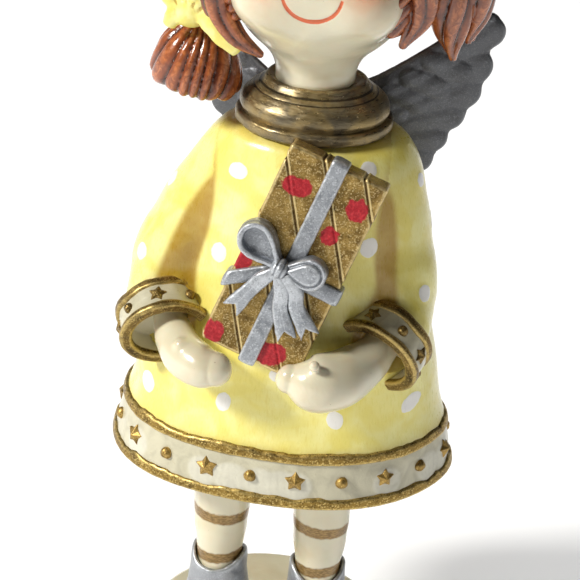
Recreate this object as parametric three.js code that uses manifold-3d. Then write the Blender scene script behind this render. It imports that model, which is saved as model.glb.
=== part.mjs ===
// A cast resin angel figurine: a doll in a bell-shaped dress holds a wrapped present.
// Millimetres, +Z up, the figure faces -Y. The origin is the centre of the base's underside.

import * as THREE from "three";
import { mergeVertices } from "three/addons/utils/BufferGeometryUtils.js";
import Module from "manifold-3d";

const wasm = await Module();
wasm.setup();

// ---- driving dimensions -------------------------------------------------------------------

const GAP = 0.35; // clearance between neighbouring castings

const BASE_RADIUS = 29.3;
const BASE_TOP = 9;

const LEG_SPREAD = 12; // each leg's axis stands this far from the middle
const LEG_FORWARD = -6;
const LEG_FOOT = 20;
const LEG_TOP = 67;

const HEM_Z = 60.3; // lower edge of the skirt
const HEM_TOP = 73.6; // upper edge of the decorated band
const TRIM_HEIGHT = 2.2;
const TRIM_PROUD = 0.6;
const BAND_THICKNESS = 2.2;
const STAR_COUNT = 10;
const FIRST_STAR = -79; // degrees round the hem, -90 being straight ahead
const STAR_RADIUS = 2.7;
const BEAD_RADIUS = 1.25;

const DRESS_TOP = 143.6;
const LEAN = 2.6; // the body leans this far to +X between hem and collar
const SKIRT_DEPTH = 0.69; // depth over width of the skirt, and of the collar below
const COLLAR_DEPTH = 0.87;

const NECK_FOOT = 152.8;
const NECK_RADIUS = 9;
const HEAD = { x: 2.3, y: 0, z: 179, radius: 21 };
const HAIR_THICKNESS = 3.8;
const HAIRLINE_Z = 168; // lower edge of the hair beside the face
const NAPE_SLOPE = 18; // degrees, the hair falls lower at the back

const CUFF_LENGTH = 8.6;
const CUFF_RADIUS = 9.7;
const CUFF_WALL = 1.7;
const CUFF_STUDS = 8;

const GIFT = { width: 22.6, length: 47.6, thickness: 7 };
const GIFT_CENTRE = [3.65, -22.9, 120.6];
const GIFT_LEAN = -12; // degrees, top towards the body
const GIFT_TILT = 19.5; // degrees, top towards +X
const RIBBON_WIDTH = 3.8;
const CROSSWISE_Z = -2.4; // from the middle of the box, along it
const KNOT = [-2, -1.4]; // across the box and along it
const RIBBON_THICKNESS = 1.1;

const WING_THICKNESS = 3;

const DRESS_SIDES = 40; // shared by the dress, its hem rings and so their clearances

// Half-width of the dress surface at heights above the base.
const DRESS_OUTLINE = [
  [60, 40],
  [66, 38.9],
  [72, 37.7],
  [78, 35.9],
  [88, 34],
  [100, 30.6],
  [112, 26.8],
  [124, 23.8],
  [134, 21.2],
  [140, 18.9],
  [DRESS_TOP, 16.4],
];

// ---- materials ----------------------------------------------------------------------------

function paint(color, roughness, metalness = 0) {
  return new THREE.MeshStandardMaterial({ color, roughness, metalness });
}

const YELLOW = paint(0xf0e372, 0.28);
const WHITE = paint(0xf2efe4, 0.25);
const CREAM = paint(0xf3ead2, 0.22);
const GOLD = paint(0x8d6f2a, 0.42, 0.8);
const PEWTER_GOLD = paint(0x97825a, 0.38, 0.7);
const SILVER = paint(0xa7a9ad, 0.4, 0.75);
const HAIR = paint(0x8c3f1e, 0.32);
const HAIR_YELLOW = paint(0xf0e26a, 0.35);

// ---- geometry helpers ---------------------------------------------------------------------

const radians = THREE.MathUtils.degToRad;
const clamp01 = (value) => Math.min(1, Math.max(0, value));

function between(table, at) {
  const last = table.length - 1;
  const i = Math.min(last, Math.max(1, table.findIndex(([key]) => key >= at)));
  const [key0, value0] = table[i - 1];
  const [key1, value1] = table[i];
  return value0 + ((value1 - value0) * (at - key0)) / (key1 - key0);
}

const dressWidth = (z) => between(DRESS_OUTLINE, z);
const lean = (z) => LEAN * clamp01((z - HEM_Z) / (145 - HEM_Z));

function depthRatio(z) {
  return SKIRT_DEPTH + (COLLAR_DEPTH - SKIRT_DEPTH) * clamp01((z - 88) / 57);
}

// The hem falls in soft waves that fade out above the band.
function ripple(angle, z) {
  const fade = clamp01((92 - z) / 32);
  return 0.55 * fade * Math.sin(5 * angle + 0.6);
}

function warp(geometry, move) {
  const position = geometry.attributes.position;
  const point = new THREE.Vector3();
  for (let i = 0; i < position.count; i++) {
    point.fromBufferAttribute(position, i);
    move(point);
    position.setXYZ(i, point.x, point.y, point.z);
  }
  return geometry;
}

// A profile of [radius, z] points turned about the Z axis.
function turned(profile, sides) {
  const points = profile.map(([radius, z]) => new THREE.Vector2(radius, z));
  return new THREE.LatheGeometry(points, sides).rotateX(Math.PI / 2);
}

// Turns a round body into the dress's oval one, which leans and ripples.
function dressed(geometry) {
  return warp(geometry, (point) => {
    const radius = Math.hypot(point.x, point.y);
    if (radius > 0) {
      const angle = Math.atan2(point.y, point.x);
      const scale = (radius + ripple(angle, point.z)) / radius;
      point.x *= scale;
      point.y *= scale;
    }
    point.y *= depthRatio(point.z);
    point.x += lean(point.z);
  });
}

// A round-ended limb along a smooth curve. sizes gives [across, deep] at even steps.
function limb(points, sizes, sides = 16, rings = 14, flat = [0, -1, 0]) {
  const curve = new THREE.CatmullRomCurve3(points.map((p) => new THREE.Vector3(...p)));
  const facing = new THREE.Vector3(...flat);
  const even = (index) => sizes.map((size, i) => [i / (sizes.length - 1), size[index]]);
  const across = even(0);
  const deep = even(1);
  const tangent = new THREE.Vector3();
  const side = new THREE.Vector3();
  const front = new THREE.Vector3();
  return warp(new THREE.SphereGeometry(1, sides, rings), (point) => {
    const t = Math.acos(Math.min(1, Math.max(-1, point.y))) / Math.PI;
    const ring = Math.hypot(point.x, point.z);
    const { x, z } = point;
    curve.getTangent(t, tangent);
    side.crossVectors(tangent, facing).normalize();
    front.crossVectors(side, tangent).normalize();
    curve.getPoint(t, point);
    if (ring > 1e-6) {
      const fullness = Math.sqrt(ring) / ring;
      point.addScaledVector(side, x * fullness * between(across, t));
      point.addScaledVector(front, z * fullness * between(deep, t));
    }
  });
}

function merged(geometry) {
  const bare = geometry.index ? geometry.toNonIndexed() : geometry.clone();
  bare.deleteAttribute("normal");
  bare.deleteAttribute("uv");
  return mergeVertices(bare, 1e-4);
}

function solidOf(geometry) {
  const shell = merged(geometry);
  const made = new wasm.Manifold(
    new wasm.Mesh({
      numProp: 3,
      vertProperties: new Float32Array(shell.attributes.position.array),
      triVerts: new Uint32Array(shell.index.array),
    }),
  );
  return made;
}

function geometryOf(solid) {
  const mesh = solid.getMesh();
  const geometry = new THREE.BufferGeometry();
  geometry.setAttribute("position", new THREE.BufferAttribute(mesh.vertProperties, 3));
  geometry.setIndex(new THREE.BufferAttribute(mesh.triVerts, 1));
  geometry.computeVertexNormals();
  return geometry;
}

// The geometry with its faces pointing out, whichever way its warp turned them.
function outward(geometry) {
  const shell = merged(geometry);
  if (solidOf(shell).volume() > 0) return shell;
  const index = shell.index.array;
  for (let i = 0; i < index.length; i += 3) {
    [index[i + 1], index[i + 2]] = [index[i + 2], index[i + 1]];
  }
  return shell;
}

// The geometry moved out along its vertex normals, as a cutter that leaves a clearance.
function grown(geometry, by = GAP) {
  const shell = merged(geometry);
  shell.computeVertexNormals();
  const { position, normal } = shell.attributes;
  for (let i = 0; i < position.count; i++) {
    position.setXYZ(
      i,
      position.getX(i) + normal.getX(i) * by,
      position.getY(i) + normal.getY(i) * by,
      position.getZ(i) + normal.getZ(i) * by,
    );
  }
  return shell;
}

function worldGeometry(mesh) {
  mesh.updateWorldMatrix(true, false);
  return mesh.geometry.clone().applyMatrix4(mesh.matrixWorld);
}

// Cuts other meshes, each with its clearance, out of a mesh and keeps the main body.
function cut(mesh, ...tools) {
  const toLocal = new THREE.Matrix4();
  mesh.updateWorldMatrix(true, false);
  toLocal.copy(mesh.matrixWorld).invert();
  let body = solidOf(mesh.geometry);
  for (const tool of tools) {
    const cutter = grown(worldGeometry(tool)).applyMatrix4(toLocal);
    body = body.subtract(solidOf(cutter));
  }
  const bodies = body.decompose().sort((a, b) => b.volume() - a.volume());
  mesh.geometry = geometryOf(bodies[0]);
}

function joined(...geometries) {
  const solids = geometries.map((geometry) => solidOf(outward(geometry)));
  return geometryOf(solids.reduce((sum, solid) => sum.add(solid)));
}

// ---- scene graph --------------------------------------------------------------------------

const figurine = new THREE.Group();
const parts = {};

function add(name, geometry, material, parent = figurine) {
  const mesh = new THREE.Mesh(outward(geometry), material);
  mesh.name = name;
  parent.add(mesh);
  parts[name] = mesh;
  return mesh;
}

const SIDES = [
  ["left", -1],
  ["right", 1],
];

// ---- base, shoes and legs -----------------------------------------------------------------

function makeBase() {
  const profile = [
    [0, 0],
    [BASE_RADIUS - 1, 0],
    [BASE_RADIUS, 1],
    [BASE_RADIUS, BASE_TOP - 2],
    [BASE_RADIUS - 0.6, BASE_TOP - 0.6],
    [BASE_RADIUS - 2, BASE_TOP],
    [0, BASE_TOP],
  ];
  add("base_plinth", turned(profile, 36), CREAM);
}

// A chunky boot: rings of a cone, each stretched to its own width, toe and heel.
function makeShoe(side, sign) {
  const sole = BASE_TOP + GAP;
  const rings = [
    { z: sole, width: 8.2, toe: 15.5, heel: 7.8 },
    { z: sole + 2.2, width: 9.2, toe: 17.2, heel: 8.6 },
    { z: sole + 6.6, width: 9.3, toe: 16.6, heel: 8.7 },
    { z: sole + 11, width: 8.7, toe: 13.2, heel: 8.3 },
    { z: sole + 15, width: 7.8, toe: 9.2, heel: 7.9 },
    { z: sole + 19, width: 7, toe: 7.3, heel: 7.4 },
    { z: sole + 23, width: 6.6, toe: 6.5, heel: 7.1 },
  ];
  const profile = [[0, sole], ...rings.map((ring) => [1, ring.z]), [0, sole + 22.4]];
  const column = (key) => rings.map((ring) => [ring.z, ring[key]]);
  const width = column("width");
  const toe = column("toe");
  const heel = column("heel");
  const shoe = warp(turned(profile, 20), (point) => {
    const reach = point.y < 0 ? between(toe, point.z) : between(heel, point.z);
    point.x *= between(width, point.z);
    point.y *= reach;
  });
  shoe.rotateZ(radians(12 * sign));
  shoe.translate(sign * LEG_SPREAD, LEG_FORWARD, 0);
  add(side + "_shoe", shoe, SILVER);
}

function makeLeg(side, sign) {
  const profile = [
    [0, LEG_FOOT],
    [5.1, LEG_FOOT],
    [5.3, 30],
    [5.6, 34],
    [6.3, 39],
    [6.7, 45],
    [6.8, LEG_TOP],
    [0, LEG_TOP],
  ];
  const leg = turned(profile, 20).translate(sign * LEG_SPREAD, LEG_FORWARD, 0);
  add(side + "_leg", leg, CREAM);
  cut(parts[side + "_shoe"], parts[side + "_leg"]);
}

// ---- dress and its decorated hem ----------------------------------------------------------

function makeDress() {
  const step = HEM_TOP + GAP;
  const inset = (z) => dressWidth(z) - BAND_THICKNESS - 0.5;
  const outer = DRESS_OUTLINE.filter(([z]) => z > step + 1);
  const profile = [
    [0, HEM_Z + 0.6],
    [inset(HEM_Z + 0.6), HEM_Z + 0.6],
    [inset(67), 67],
    [inset(step), step],
    [dressWidth(step), step],
    ...outer.map(([z, width]) => [width, z]),
    [0, DRESS_TOP],
  ];
  const dress = add("dress", dressed(turned(profile, DRESS_SIDES)), YELLOW);
  cut(dress, parts.left_leg, parts.right_leg);
}

// A closed ring lying in the dress surface between two heights.
function hemRing(bottom, top, proud, thickness) {
  const middle = (bottom + top) / 2;
  const edge = (z, out) => [dressWidth(z) + out, z];
  const profile = [
    edge(bottom, -thickness),
    edge(bottom, proud * 0.4),
    edge(middle, proud),
    edge(top, proud * 0.4),
    edge(top, -thickness),
    edge(bottom, -thickness),
  ];
  return dressed(turned(profile, DRESS_SIDES));
}

// Angles that space a count of studs evenly by arc length round the oval hem.
function evenAngles(count, first) {
  const steps = 720;
  const reach = [0];
  const speed = (angle) => Math.hypot(Math.sin(angle), SKIRT_DEPTH * Math.cos(angle));
  for (let i = 0; i < steps; i++) {
    reach.push(reach[i] + speed(first + (2 * Math.PI * (i + 0.5)) / steps));
  }
  return Array.from({ length: count }, (_, k) => {
    const wanted = (reach[steps] * k) / count;
    const i = reach.findIndex((length) => length >= wanted);
    return first + (2 * Math.PI * i) / steps;
  });
}

// Moves a stud that faces -Y onto the hem, facing out of it.
function onHem(stud, angle, z) {
  const width = dressWidth(z) + ripple(angle, z);
  const x = width * Math.cos(angle);
  const y = width * SKIRT_DEPTH * Math.sin(angle);
  const facing = Math.atan2(Math.sin(angle) / SKIRT_DEPTH, Math.cos(angle));
  return stud.rotateZ(facing + Math.PI / 2).translate(x + lean(z), y, z);
}

function starStud() {
  const star = new THREE.Shape();
  for (let i = 0; i < 10; i++) {
    const radius = i % 2 ? STAR_RADIUS * 0.5 : STAR_RADIUS;
    const angle = (i * Math.PI) / 5;
    star[i ? "lineTo" : "moveTo"](radius * Math.sin(angle), radius * Math.cos(angle));
  }
  const body = new THREE.ExtrudeGeometry(star, { depth: 2.4, bevelEnabled: false });
  return body.rotateX(Math.PI / 2).translate(0, 1, 0);
}

function makeHem() {
  const lowerTop = HEM_Z + TRIM_HEIGHT;
  const upperBottom = HEM_TOP - TRIM_HEIGHT;
  const studZ = (lowerTop + upperBottom) / 2;
  const band = hemRing(lowerTop + GAP, upperBottom - GAP, 0.15, BAND_THICKNESS);
  const studs = evenAngles(STAR_COUNT * 2, radians(FIRST_STAR)).map((angle, i) => {
    const bead = new THREE.SphereGeometry(BEAD_RADIUS, 6, 4);
    return onHem(i % 2 ? bead : starStud(), angle, studZ);
  });
  add("hem_band", joined(band, ...studs), WHITE);
  add("hem_trim_lower", hemRing(HEM_Z, lowerTop, TRIM_PROUD, BAND_THICKNESS), GOLD);
  add("hem_trim_upper", hemRing(upperBottom, HEM_TOP, TRIM_PROUD, BAND_THICKNESS), GOLD);
}

// ---- arms ---------------------------------------------------------------------------------

const ARMS = {
  left: {
    sleeve: [
      [-5, 1, 140],
      [-13.4, 0.5, 131.6],
      [-18.9, 0, 122.6],
      [-22.4, -0.5, 113],
      [-24.8, -4.5, 104.6],
      [-25.6, -15, 97.5],
    ],
    opening: [-24.5, -19, 96],
    facing: [0.36, -0.84, -0.4],
    hand: [
      [-24.6, -14, 99],
      [-22.6, -20, 97],
      [-18.6, -26.4, 95.8],
      [-13.4, -30, 96.4],
      [-9.6, -31, 98.2],
    ],
    handSizes: [
      [4.2, 4.2],
      [5, 5],
      [5.2, 5],
      [4.8, 4.6],
      [3.4, 3.2],
    ],
    thumb: [-17.6, -29.2, 99.6],
  },
  right: {
    sleeve: [
      [8, 1, 141.5],
      [16.6, 0.5, 134.5],
      [19.2, 0, 125.5],
      [20.4, -0.5, 114.5],
      [22.2, -4.5, 105.4],
      [23, -15, 98.5],
    ],
    opening: [22, -19, 97],
    facing: [-0.36, -0.84, -0.4],
    hand: [
      [23.5, -13, 99.5],
      [21, -21, 97.5],
      [16, -28, 96],
      [10.5, -31.5, 95.8],
      [5.5, -32, 96.5],
    ],
    handSizes: [
      [4.2, 4.2],
      [5.4, 5.6],
      [7, 6.6],
      [7.2, 6.4],
      [4.2, 4],
    ],
    thumb: [11, -35.4, 102],
  },
};

const SLEEVE_SIZES = [
  [7, 8],
  [11, 12.5],
  [10.6, 12],
  [11.4, 12.6],
  [14.6, 14.8],
  [17, 17],
];

// A ring about the arm's axis, between two distances back from the cuff's opening.
function armRing(arm, from, to, outer, inner) {
  const profile = [
    [inner, -to],
    [outer, -to],
    [outer + 0.25, -(from + to) / 2],
    [outer, -from],
    [inner, -from],
    [inner, -to],
  ];
  const axis = new THREE.Vector3(...arm.facing).normalize();
  const turn = new THREE.Quaternion().setFromUnitVectors(new THREE.Vector3(0, 0, 1), axis);
  return turned(profile, 22).applyQuaternion(turn).translate(...arm.opening);
}

// The space from the cuff's back edge forward, which the sleeve stops short of.
function cuffSpace(arm) {
  const axis = new THREE.Vector3(...arm.facing).normalize();
  const turn = new THREE.Quaternion().setFromUnitVectors(new THREE.Vector3(0, 1, 0), axis);
  const reach = CUFF_LENGTH + 14;
  const space = new THREE.CylinderGeometry(CUFF_RADIUS + 4, CUFF_RADIUS + 0.8, reach, 22);
  space.translate(0, reach / 2 - CUFF_LENGTH, 0);
  return new THREE.Mesh(space.applyQuaternion(turn).translate(...arm.opening));
}

function makeArm(side) {
  const arm = ARMS[side];
  const trim = 1.9;
  const inner = CUFF_RADIUS - CUFF_WALL;
  const lowerEdge = trim + GAP;
  const upperEdge = CUFF_LENGTH - trim;
  const studZ = (lowerEdge + upperEdge) / 2;

  const lower = armRing(arm, 0, trim, CUFF_RADIUS + 0.9, inner - 0.2);
  add(side + "_cuff_trim_lower", lower, GOLD);
  const upper = armRing(arm, upperEdge + GAP, CUFF_LENGTH, CUFF_RADIUS + 0.5, inner);
  add(side + "_cuff_trim_upper", upper, GOLD);

  const axis = new THREE.Vector3(...arm.facing).normalize();
  const turn = new THREE.Quaternion().setFromUnitVectors(new THREE.Vector3(0, 0, 1), axis);
  const studs = Array.from({ length: CUFF_STUDS }, (_, i) => {
    const angle = (2 * Math.PI * i) / CUFF_STUDS;
    const stud = new THREE.SphereGeometry(i % 2 ? 1 : 1.4, 6, 4);
    stud.translate(CUFF_RADIUS * Math.cos(angle), CUFF_RADIUS * Math.sin(angle), -studZ);
    return stud.applyQuaternion(turn).translate(...arm.opening);
  });
  const band = armRing(arm, lowerEdge, upperEdge, CUFF_RADIUS, inner);
  add(side + "_cuff", joined(band, ...studs), WHITE);

  const thumb = new THREE.SphereGeometry(1.9, 8, 6).translate(...arm.thumb);
  add(side + "_hand", joined(limb(arm.hand, arm.handSizes, 16, 12), thumb), CREAM);

  for (const piece of ["cuff", "cuff_trim_lower", "cuff_trim_upper", "hand"]) {
    cut(parts[side + "_" + piece], parts.dress);
  }
  const sleeve = add(side + "_sleeve", limb(arm.sleeve, SLEEVE_SIZES, 20, 14), YELLOW);
  cut(sleeve, cuffSpace(arm), parts[side + "_hand"], parts.dress);
}

// ---- the present --------------------------------------------------------------------------

const gift = new THREE.Group();
gift.position.set(...GIFT_CENTRE);
gift.rotation.set(radians(GIFT_LEAN), radians(GIFT_TILT), 0);
figurine.add(gift);

// A ribbon's section along the box: over the front face from one place to the other, lapping
// the box's edge wherever it reaches past it.
function ribbonBand(length, from, to) {
  const front = -GIFT.thickness / 2 - GAP;
  const reach = length / 2 + GAP;
  const lap = front + GIFT.thickness * 0.55;
  const shape = new THREE.Shape();
  shape.moveTo(from, front - RIBBON_THICKNESS);
  shape.lineTo(to, front - RIBBON_THICKNESS);
  if (to > reach) {
    shape.lineTo(to, lap);
    shape.lineTo(reach, lap);
    shape.lineTo(reach, front);
  } else shape.lineTo(to, front);
  if (from < -reach) {
    shape.lineTo(-reach, front);
    shape.lineTo(-reach, lap);
    shape.lineTo(from, lap);
  } else shape.lineTo(from, front);
  shape.closePath();
  const band = new THREE.ExtrudeGeometry(shape, { depth: RIBBON_WIDTH, bevelEnabled: false });
  return band.translate(0, 0, -RIBBON_WIDTH / 2);
}

// A loop of ribbon standing on the box: a drop-shaped band with an open eye.
function bowLoop(length, width, turnBy) {
  const outline = new THREE.Shape();
  outline.moveTo(0, -1.2);
  outline.bezierCurveTo(length * 0.5, -width * 0.75, length * 1.1, -width * 0.55, length, 0);
  outline.bezierCurveTo(length * 1.02, width * 0.6, length * 0.45, width * 0.65, 0, 1.2);
  outline.closePath();
  const eye = new THREE.Path();
  const start = length * 0.34;
  eye.moveTo(start, 0);
  eye.bezierCurveTo(length * 0.55, width * 0.42, length * 0.88, width * 0.4, length * 0.86, 0);
  eye.bezierCurveTo(length * 0.92, -width * 0.36, length * 0.55, -width * 0.42, start, 0);
  outline.holes.push(eye);
  const loop = new THREE.ExtrudeGeometry(outline, {
    depth: 3.4,
    bevelEnabled: false,
    curveSegments: 6,
  });
  return loop.rotateX(Math.PI / 2).rotateY(radians(-turnBy));
}

function bowTail(points) {
  const sizes = [
    [1.5, 0.9],
    [1.8, 0.9],
    [2.2, 0.8],
    [2, 0.7],
  ];
  return limb(points, sizes, 8, 9);
}

function makeGift() {
  const { width, length, thickness } = GIFT;
  add("gift_box", new THREE.BoxGeometry(width, thickness, length), GOLD, gift);
  const past = GAP + RIBBON_THICKNESS;
  const along = ribbonBand(length, -length / 2 - past, length / 2 + past);
  add("ribbon_lengthwise", along.rotateY(Math.PI / 2), SILVER, gift);
  const nearEdge = RIBBON_WIDTH / 2 + GAP;
  const left = ribbonBand(width, -width / 2 - past, -nearEdge).translate(0, 0, CROSSWISE_Z);
  const right = ribbonBand(width, nearEdge, width / 2 + past).translate(0, 0, CROSSWISE_Z);
  add("ribbon_crosswise_left", left, SILVER, gift);
  add("ribbon_crosswise_right", right, SILVER, gift);

  const top = -thickness / 2 - GAP * 2 - RIBBON_THICKNESS;
  const knot = new THREE.SphereGeometry(2.6, 12, 9).scale(1, 0.85, 0.9);
  add("bow_knot", knot.translate(KNOT[0], top - 2.4, KNOT[1]), SILVER, gift);
  const leftLoop = bowLoop(11.5, 8, 155).translate(KNOT[0], top - 0.1, KNOT[1]);
  const rightLoop = bowLoop(10, 7, 15).translate(KNOT[0], top - 0.1, KNOT[1]);
  const tails = {
    bow_tail_left: [
      [-3.4, top - 2, -2.8],
      [-5.4, top - 1.5, -5],
      [-7.4, top - 1.2, -8.6],
      [-9, top - 1.4, -12],
    ],
    bow_tail_middle: [
      [-1.2, top - 2.2, -3.2],
      [0.6, top - 2.2, -6],
      [1.8, top - 1.4, -9.6],
      [4.6, top - 1.4, -13.4],
    ],
    bow_tail_right: [
      [0, top - 2, -2.4],
      [3, top - 1.6, -4.4],
      [4.8, top - 1.5, -7.6],
      [8.4, top - 1.2, -10.8],
    ],
  };
  add("bow_loop_left", leftLoop, SILVER, gift);
  add("bow_loop_right", rightLoop, SILVER, gift);
  cut(parts.bow_loop_left, parts.bow_knot);
  cut(parts.bow_loop_right, parts.bow_knot, parts.bow_loop_left);
  const laid = [parts.bow_knot, parts.bow_loop_left, parts.bow_loop_right];
  laid.push(parts.ribbon_lengthwise, parts.ribbon_crosswise_left, parts.ribbon_crosswise_right);
  for (const [name, points] of Object.entries(tails)) {
    const tail = add(name, bowTail(points), SILVER, gift);
    cut(tail, ...laid);
    laid.push(tail);
  }
}

// The dress, the sleeves and the hands stop short of the wrapped box.
function seatGift() {
  const wrapped = [parts.gift_box, parts.ribbon_lengthwise];
  wrapped.push(parts.ribbon_crosswise_left, parts.ribbon_crosswise_right);
  for (const [side] of SIDES) {
    cut(parts[side + "_hand"], ...wrapped);
    cut(parts[side + "_sleeve"], ...wrapped);
  }
  cut(parts.dress, ...wrapped);
}

// ---- collar, head and hair ----------------------------------------------------------------

function makeCollar() {
  const flangeFoot = DRESS_TOP + GAP;
  const flange = [
    [0, flangeFoot],
    [16.2, flangeFoot],
    [17.3, flangeFoot + 0.9],
    [17, flangeFoot + 2.2],
    [0, flangeFoot + 2.2],
  ];
  const rollFoot = flangeFoot + 2.2 + GAP;
  const roll = [
    [0, rollFoot],
    [15.2, rollFoot],
    [16, rollFoot + 1.4],
    [15.4, rollFoot + 3.4],
    [13.2, rollFoot + 6],
    [11.4, rollFoot + 8],
    [10.4, rollFoot + 9],
    [NECK_RADIUS + 0.5, rollFoot + 8.6],
    [NECK_RADIUS + 0.5, NECK_FOOT - GAP],
    [0, NECK_FOOT - GAP],
  ];
  add("collar_flange", dressed(turned(flange, 30)), PEWTER_GOLD);
  cut(parts.collar_flange, parts.gift_box);
  add("collar_roll", dressed(turned(roll, 30)), PEWTER_GOLD);
}

function headGeometry() {
  const { x, y, z, radius } = HEAD;
  const profile = [
    [0, NECK_FOOT],
    [NECK_RADIUS - 0.1, NECK_FOOT],
    [NECK_RADIUS - 0.3, 155.5],
    [NECK_RADIUS, 158],
    [NECK_RADIUS + 1.6, 160.6],
  ];
  const firstAngle = -52;
  const steps = 11;
  for (let i = 0; i <= steps; i++) {
    const angle = radians(firstAngle + ((90 - firstAngle) * i) / steps);
    profile.push([i === steps ? 0 : radius * Math.cos(angle), z + radius * Math.sin(angle)]);
  }
  const squashNeck = (point) => {
    point.y *= point.z < 158 ? COLLAR_DEPTH + 0.07 : 0.98;
  };
  const nose = new THREE.SphereGeometry(1.7, 8, 6).translate(0, -radius - 0.1, 1.2 + z);
  return joined(warp(turned(profile, 26), squashNeck), nose).translate(x, y, 0);
}

const HAIR_PIECES = {
  left_front_lock: {
    points: [
      [-15.5, -14.5, 190],
      [-20.4, -11.5, 181],
      [-20.6, -9.5, 171.5],
      [-14.5, -10, 164.5],
      [-8.6, -9.5, 161.3],
    ],
    sizes: [
      [2.4, 2.4],
      [3.6, 3.2],
      [3.8, 3],
      [2.8, 2.4],
      [1, 1],
    ],
  },
  right_front_lock: {
    points: [
      [20, -13.5, 190],
      [24.6, -10.5, 182],
      [24.8, -8.5, 174],
      [21, -8.5, 166.8],
    ],
    sizes: [
      [2.4, 2.4],
      [3.4, 3],
      [3.2, 2.6],
      [1.2, 1.2],
    ],
  },
  left_pigtail: {
    points: [
      [-23.8, -2, 166],
      [-24.2, -2, 160.5],
      [-24, -2.4, 155],
      [-23.6, -2.8, 148],
    ],
    sizes: [
      [5, 4.8],
      [9.8, 9],
      [11.6, 10.4],
      [12, 11],
    ],
  },
  right_pigtail: {
    points: [
      [28, 2, 185],
      [31.6, 1.5, 178],
      [32.8, 1, 170],
      [31.8, 0, 162.5],
    ],
    sizes: [
      [4.4, 4.4],
      [8.8, 8.6],
      [6.8, 7],
      [2.4, 2.4],
    ],
  },
};

// Each hair ribbon's knot, and the ends of its two loops and two tails.
const HAIR_BOWS = {
  left_hair_bow: {
    knot: [-24, -7, 168.6],
    loops: [
      [-29, -7.6, 178],
      [-22.4, -10.8, 179.4],
    ],
    tails: [
      [-13.6, -11.6, 162.8],
      [-24.6, -10.4, 166.4],
    ],
  },
  right_hair_bow: {
    knot: [27.8, -3.4, 187.4],
    loops: [
      [34.6, -4.4, 195],
      [23.4, -8.4, 196.4],
    ],
    tails: [
      [25.4, -9.4, 178.8],
      [33.2, -7.2, 181.6],
    ],
  },
};

function makeHead() {
  const head = add("head", headGeometry(), CREAM);
  cut(parts.collar_roll, head);

  const { x, y, z, radius } = HEAD;
  const outer = new THREE.SphereGeometry(radius + HAIR_THICKNESS, 24, 15);
  const cap = add("hair_cap", outer.translate(x, y + 1.5, z + 1.4), HAIR);
  const face = new THREE.SphereGeometry(1, 18, 12).scale(18.5, 22, 21).translate(x, y - 23, z - 7);
  const nape = new THREE.BoxGeometry(80, 80, 40).translate(0, 0, -20);
  nape.rotateX(radians(-NAPE_SLOPE)).translate(x, y, HAIRLINE_Z);
  cut(cap, head, new THREE.Mesh(face), new THREE.Mesh(nape));

  const worn = [head, cap];
  for (const [name, bow] of Object.entries(HAIR_BOWS)) {
    const ribbon = (end, size) => {
      const middle = bow.knot.map((value, i) => value + (end[i] - value) * 0.5);
      return limb([bow.knot, middle, end], [[1.6, 1.6], size, [2, 1.6]], 10, 7);
    };
    const knot = new THREE.SphereGeometry(3.2, 10, 8).translate(...bow.knot);
    const loops = bow.loops.map((end) => ribbon(end, [4.6, 3.2]));
    const tails = bow.tails.map((end) => ribbon(end, [2.8, 2]));
    const made = add(name, joined(knot, ...loops, ...tails), HAIR_YELLOW);
    cut(made, ...worn);
    worn.push(made);
  }
  for (const [name, { points, sizes }] of Object.entries(HAIR_PIECES)) {
    const lock = add(name, limb(points, sizes, 14, 12), HAIR);
    cut(lock, ...worn);
    worn.push(lock);
  }
}

// ---- wings --------------------------------------------------------------------------------

// Feather tips from the leading edge down, as [reach, height] from the wing's root.
const FEATHER_TIPS = [
  [39.5, 16],
  [37, 7],
  [34.6, -0.6],
  [32, -7.4],
  [28.6, -14.6],
  [25.4, -21],
];

function wingShape() {
  const shape = new THREE.Shape();
  shape.moveTo(-2, -24);
  shape.lineTo(-2, -2.6);
  shape.quadraticCurveTo(14, 1, 22, 8);
  shape.quadraticCurveTo(30, 16, FEATHER_TIPS[0][0] - 3, 20);
  FEATHER_TIPS.forEach(([reach, height], i) => {
    const next = FEATHER_TIPS[i + 1] ?? [19, -26.6];
    const notch = [(reach + next[0]) / 2 - 2.2, (height + next[1]) / 2 - 1.6];
    shape.quadraticCurveTo(reach + 1.6, height + 1.5, reach + 0.4, height - 2.4);
    shape.quadraticCurveTo(reach - 0.6, notch[1] + 1.6, ...notch);
  });
  shape.quadraticCurveTo(8, -29, -2, -24);
  return shape;
}

function makeWing(side, sign, { sweep, raise, scale, drop }) {
  const wing = new THREE.ExtrudeGeometry(wingShape(), {
    depth: WING_THICKNESS - 1.2,
    bevelThickness: 0.6,
    bevelSize: 0.5,
    bevelSegments: 1,
    curveSegments: 4,
  });
  wing.translate(0, 0, -WING_THICKNESS / 2 + 0.6).scale(scale, scale, 1);
  wing.rotateX(Math.PI / 2).rotateY(radians(-raise)).rotateZ(radians(sweep));
  if (sign < 0) wing.scale(-1, 1, 1);
  wing.translate(LEAN + 3 * sign, 15, 147.5 - drop);
  const made = add(side + "_wing", wing, SILVER);
  cut(made, parts.dress, parts[side + "_sleeve"], parts.collar_flange, parts.collar_roll);
}

// ---- assembly -----------------------------------------------------------------------------

makeBase();
for (const [side, sign] of SIDES) {
  makeShoe(side, sign);
  makeLeg(side, sign);
}
makeDress();
makeHem();
for (const [side] of SIDES) makeArm(side);
makeGift();
seatGift();
makeCollar();
makeHead();
makeWing("left", -1, { sweep: 20, raise: -4, scale: 0.8, drop: 3.5 });
makeWing("right", 1, { sweep: 12, raise: 0, scale: 0.9, drop: 0 });

export default figurine;
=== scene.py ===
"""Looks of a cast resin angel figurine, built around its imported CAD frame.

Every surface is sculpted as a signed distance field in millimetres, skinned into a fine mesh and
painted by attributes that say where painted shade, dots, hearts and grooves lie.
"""

import math
from concurrent.futures import ThreadPoolExecutor

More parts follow.
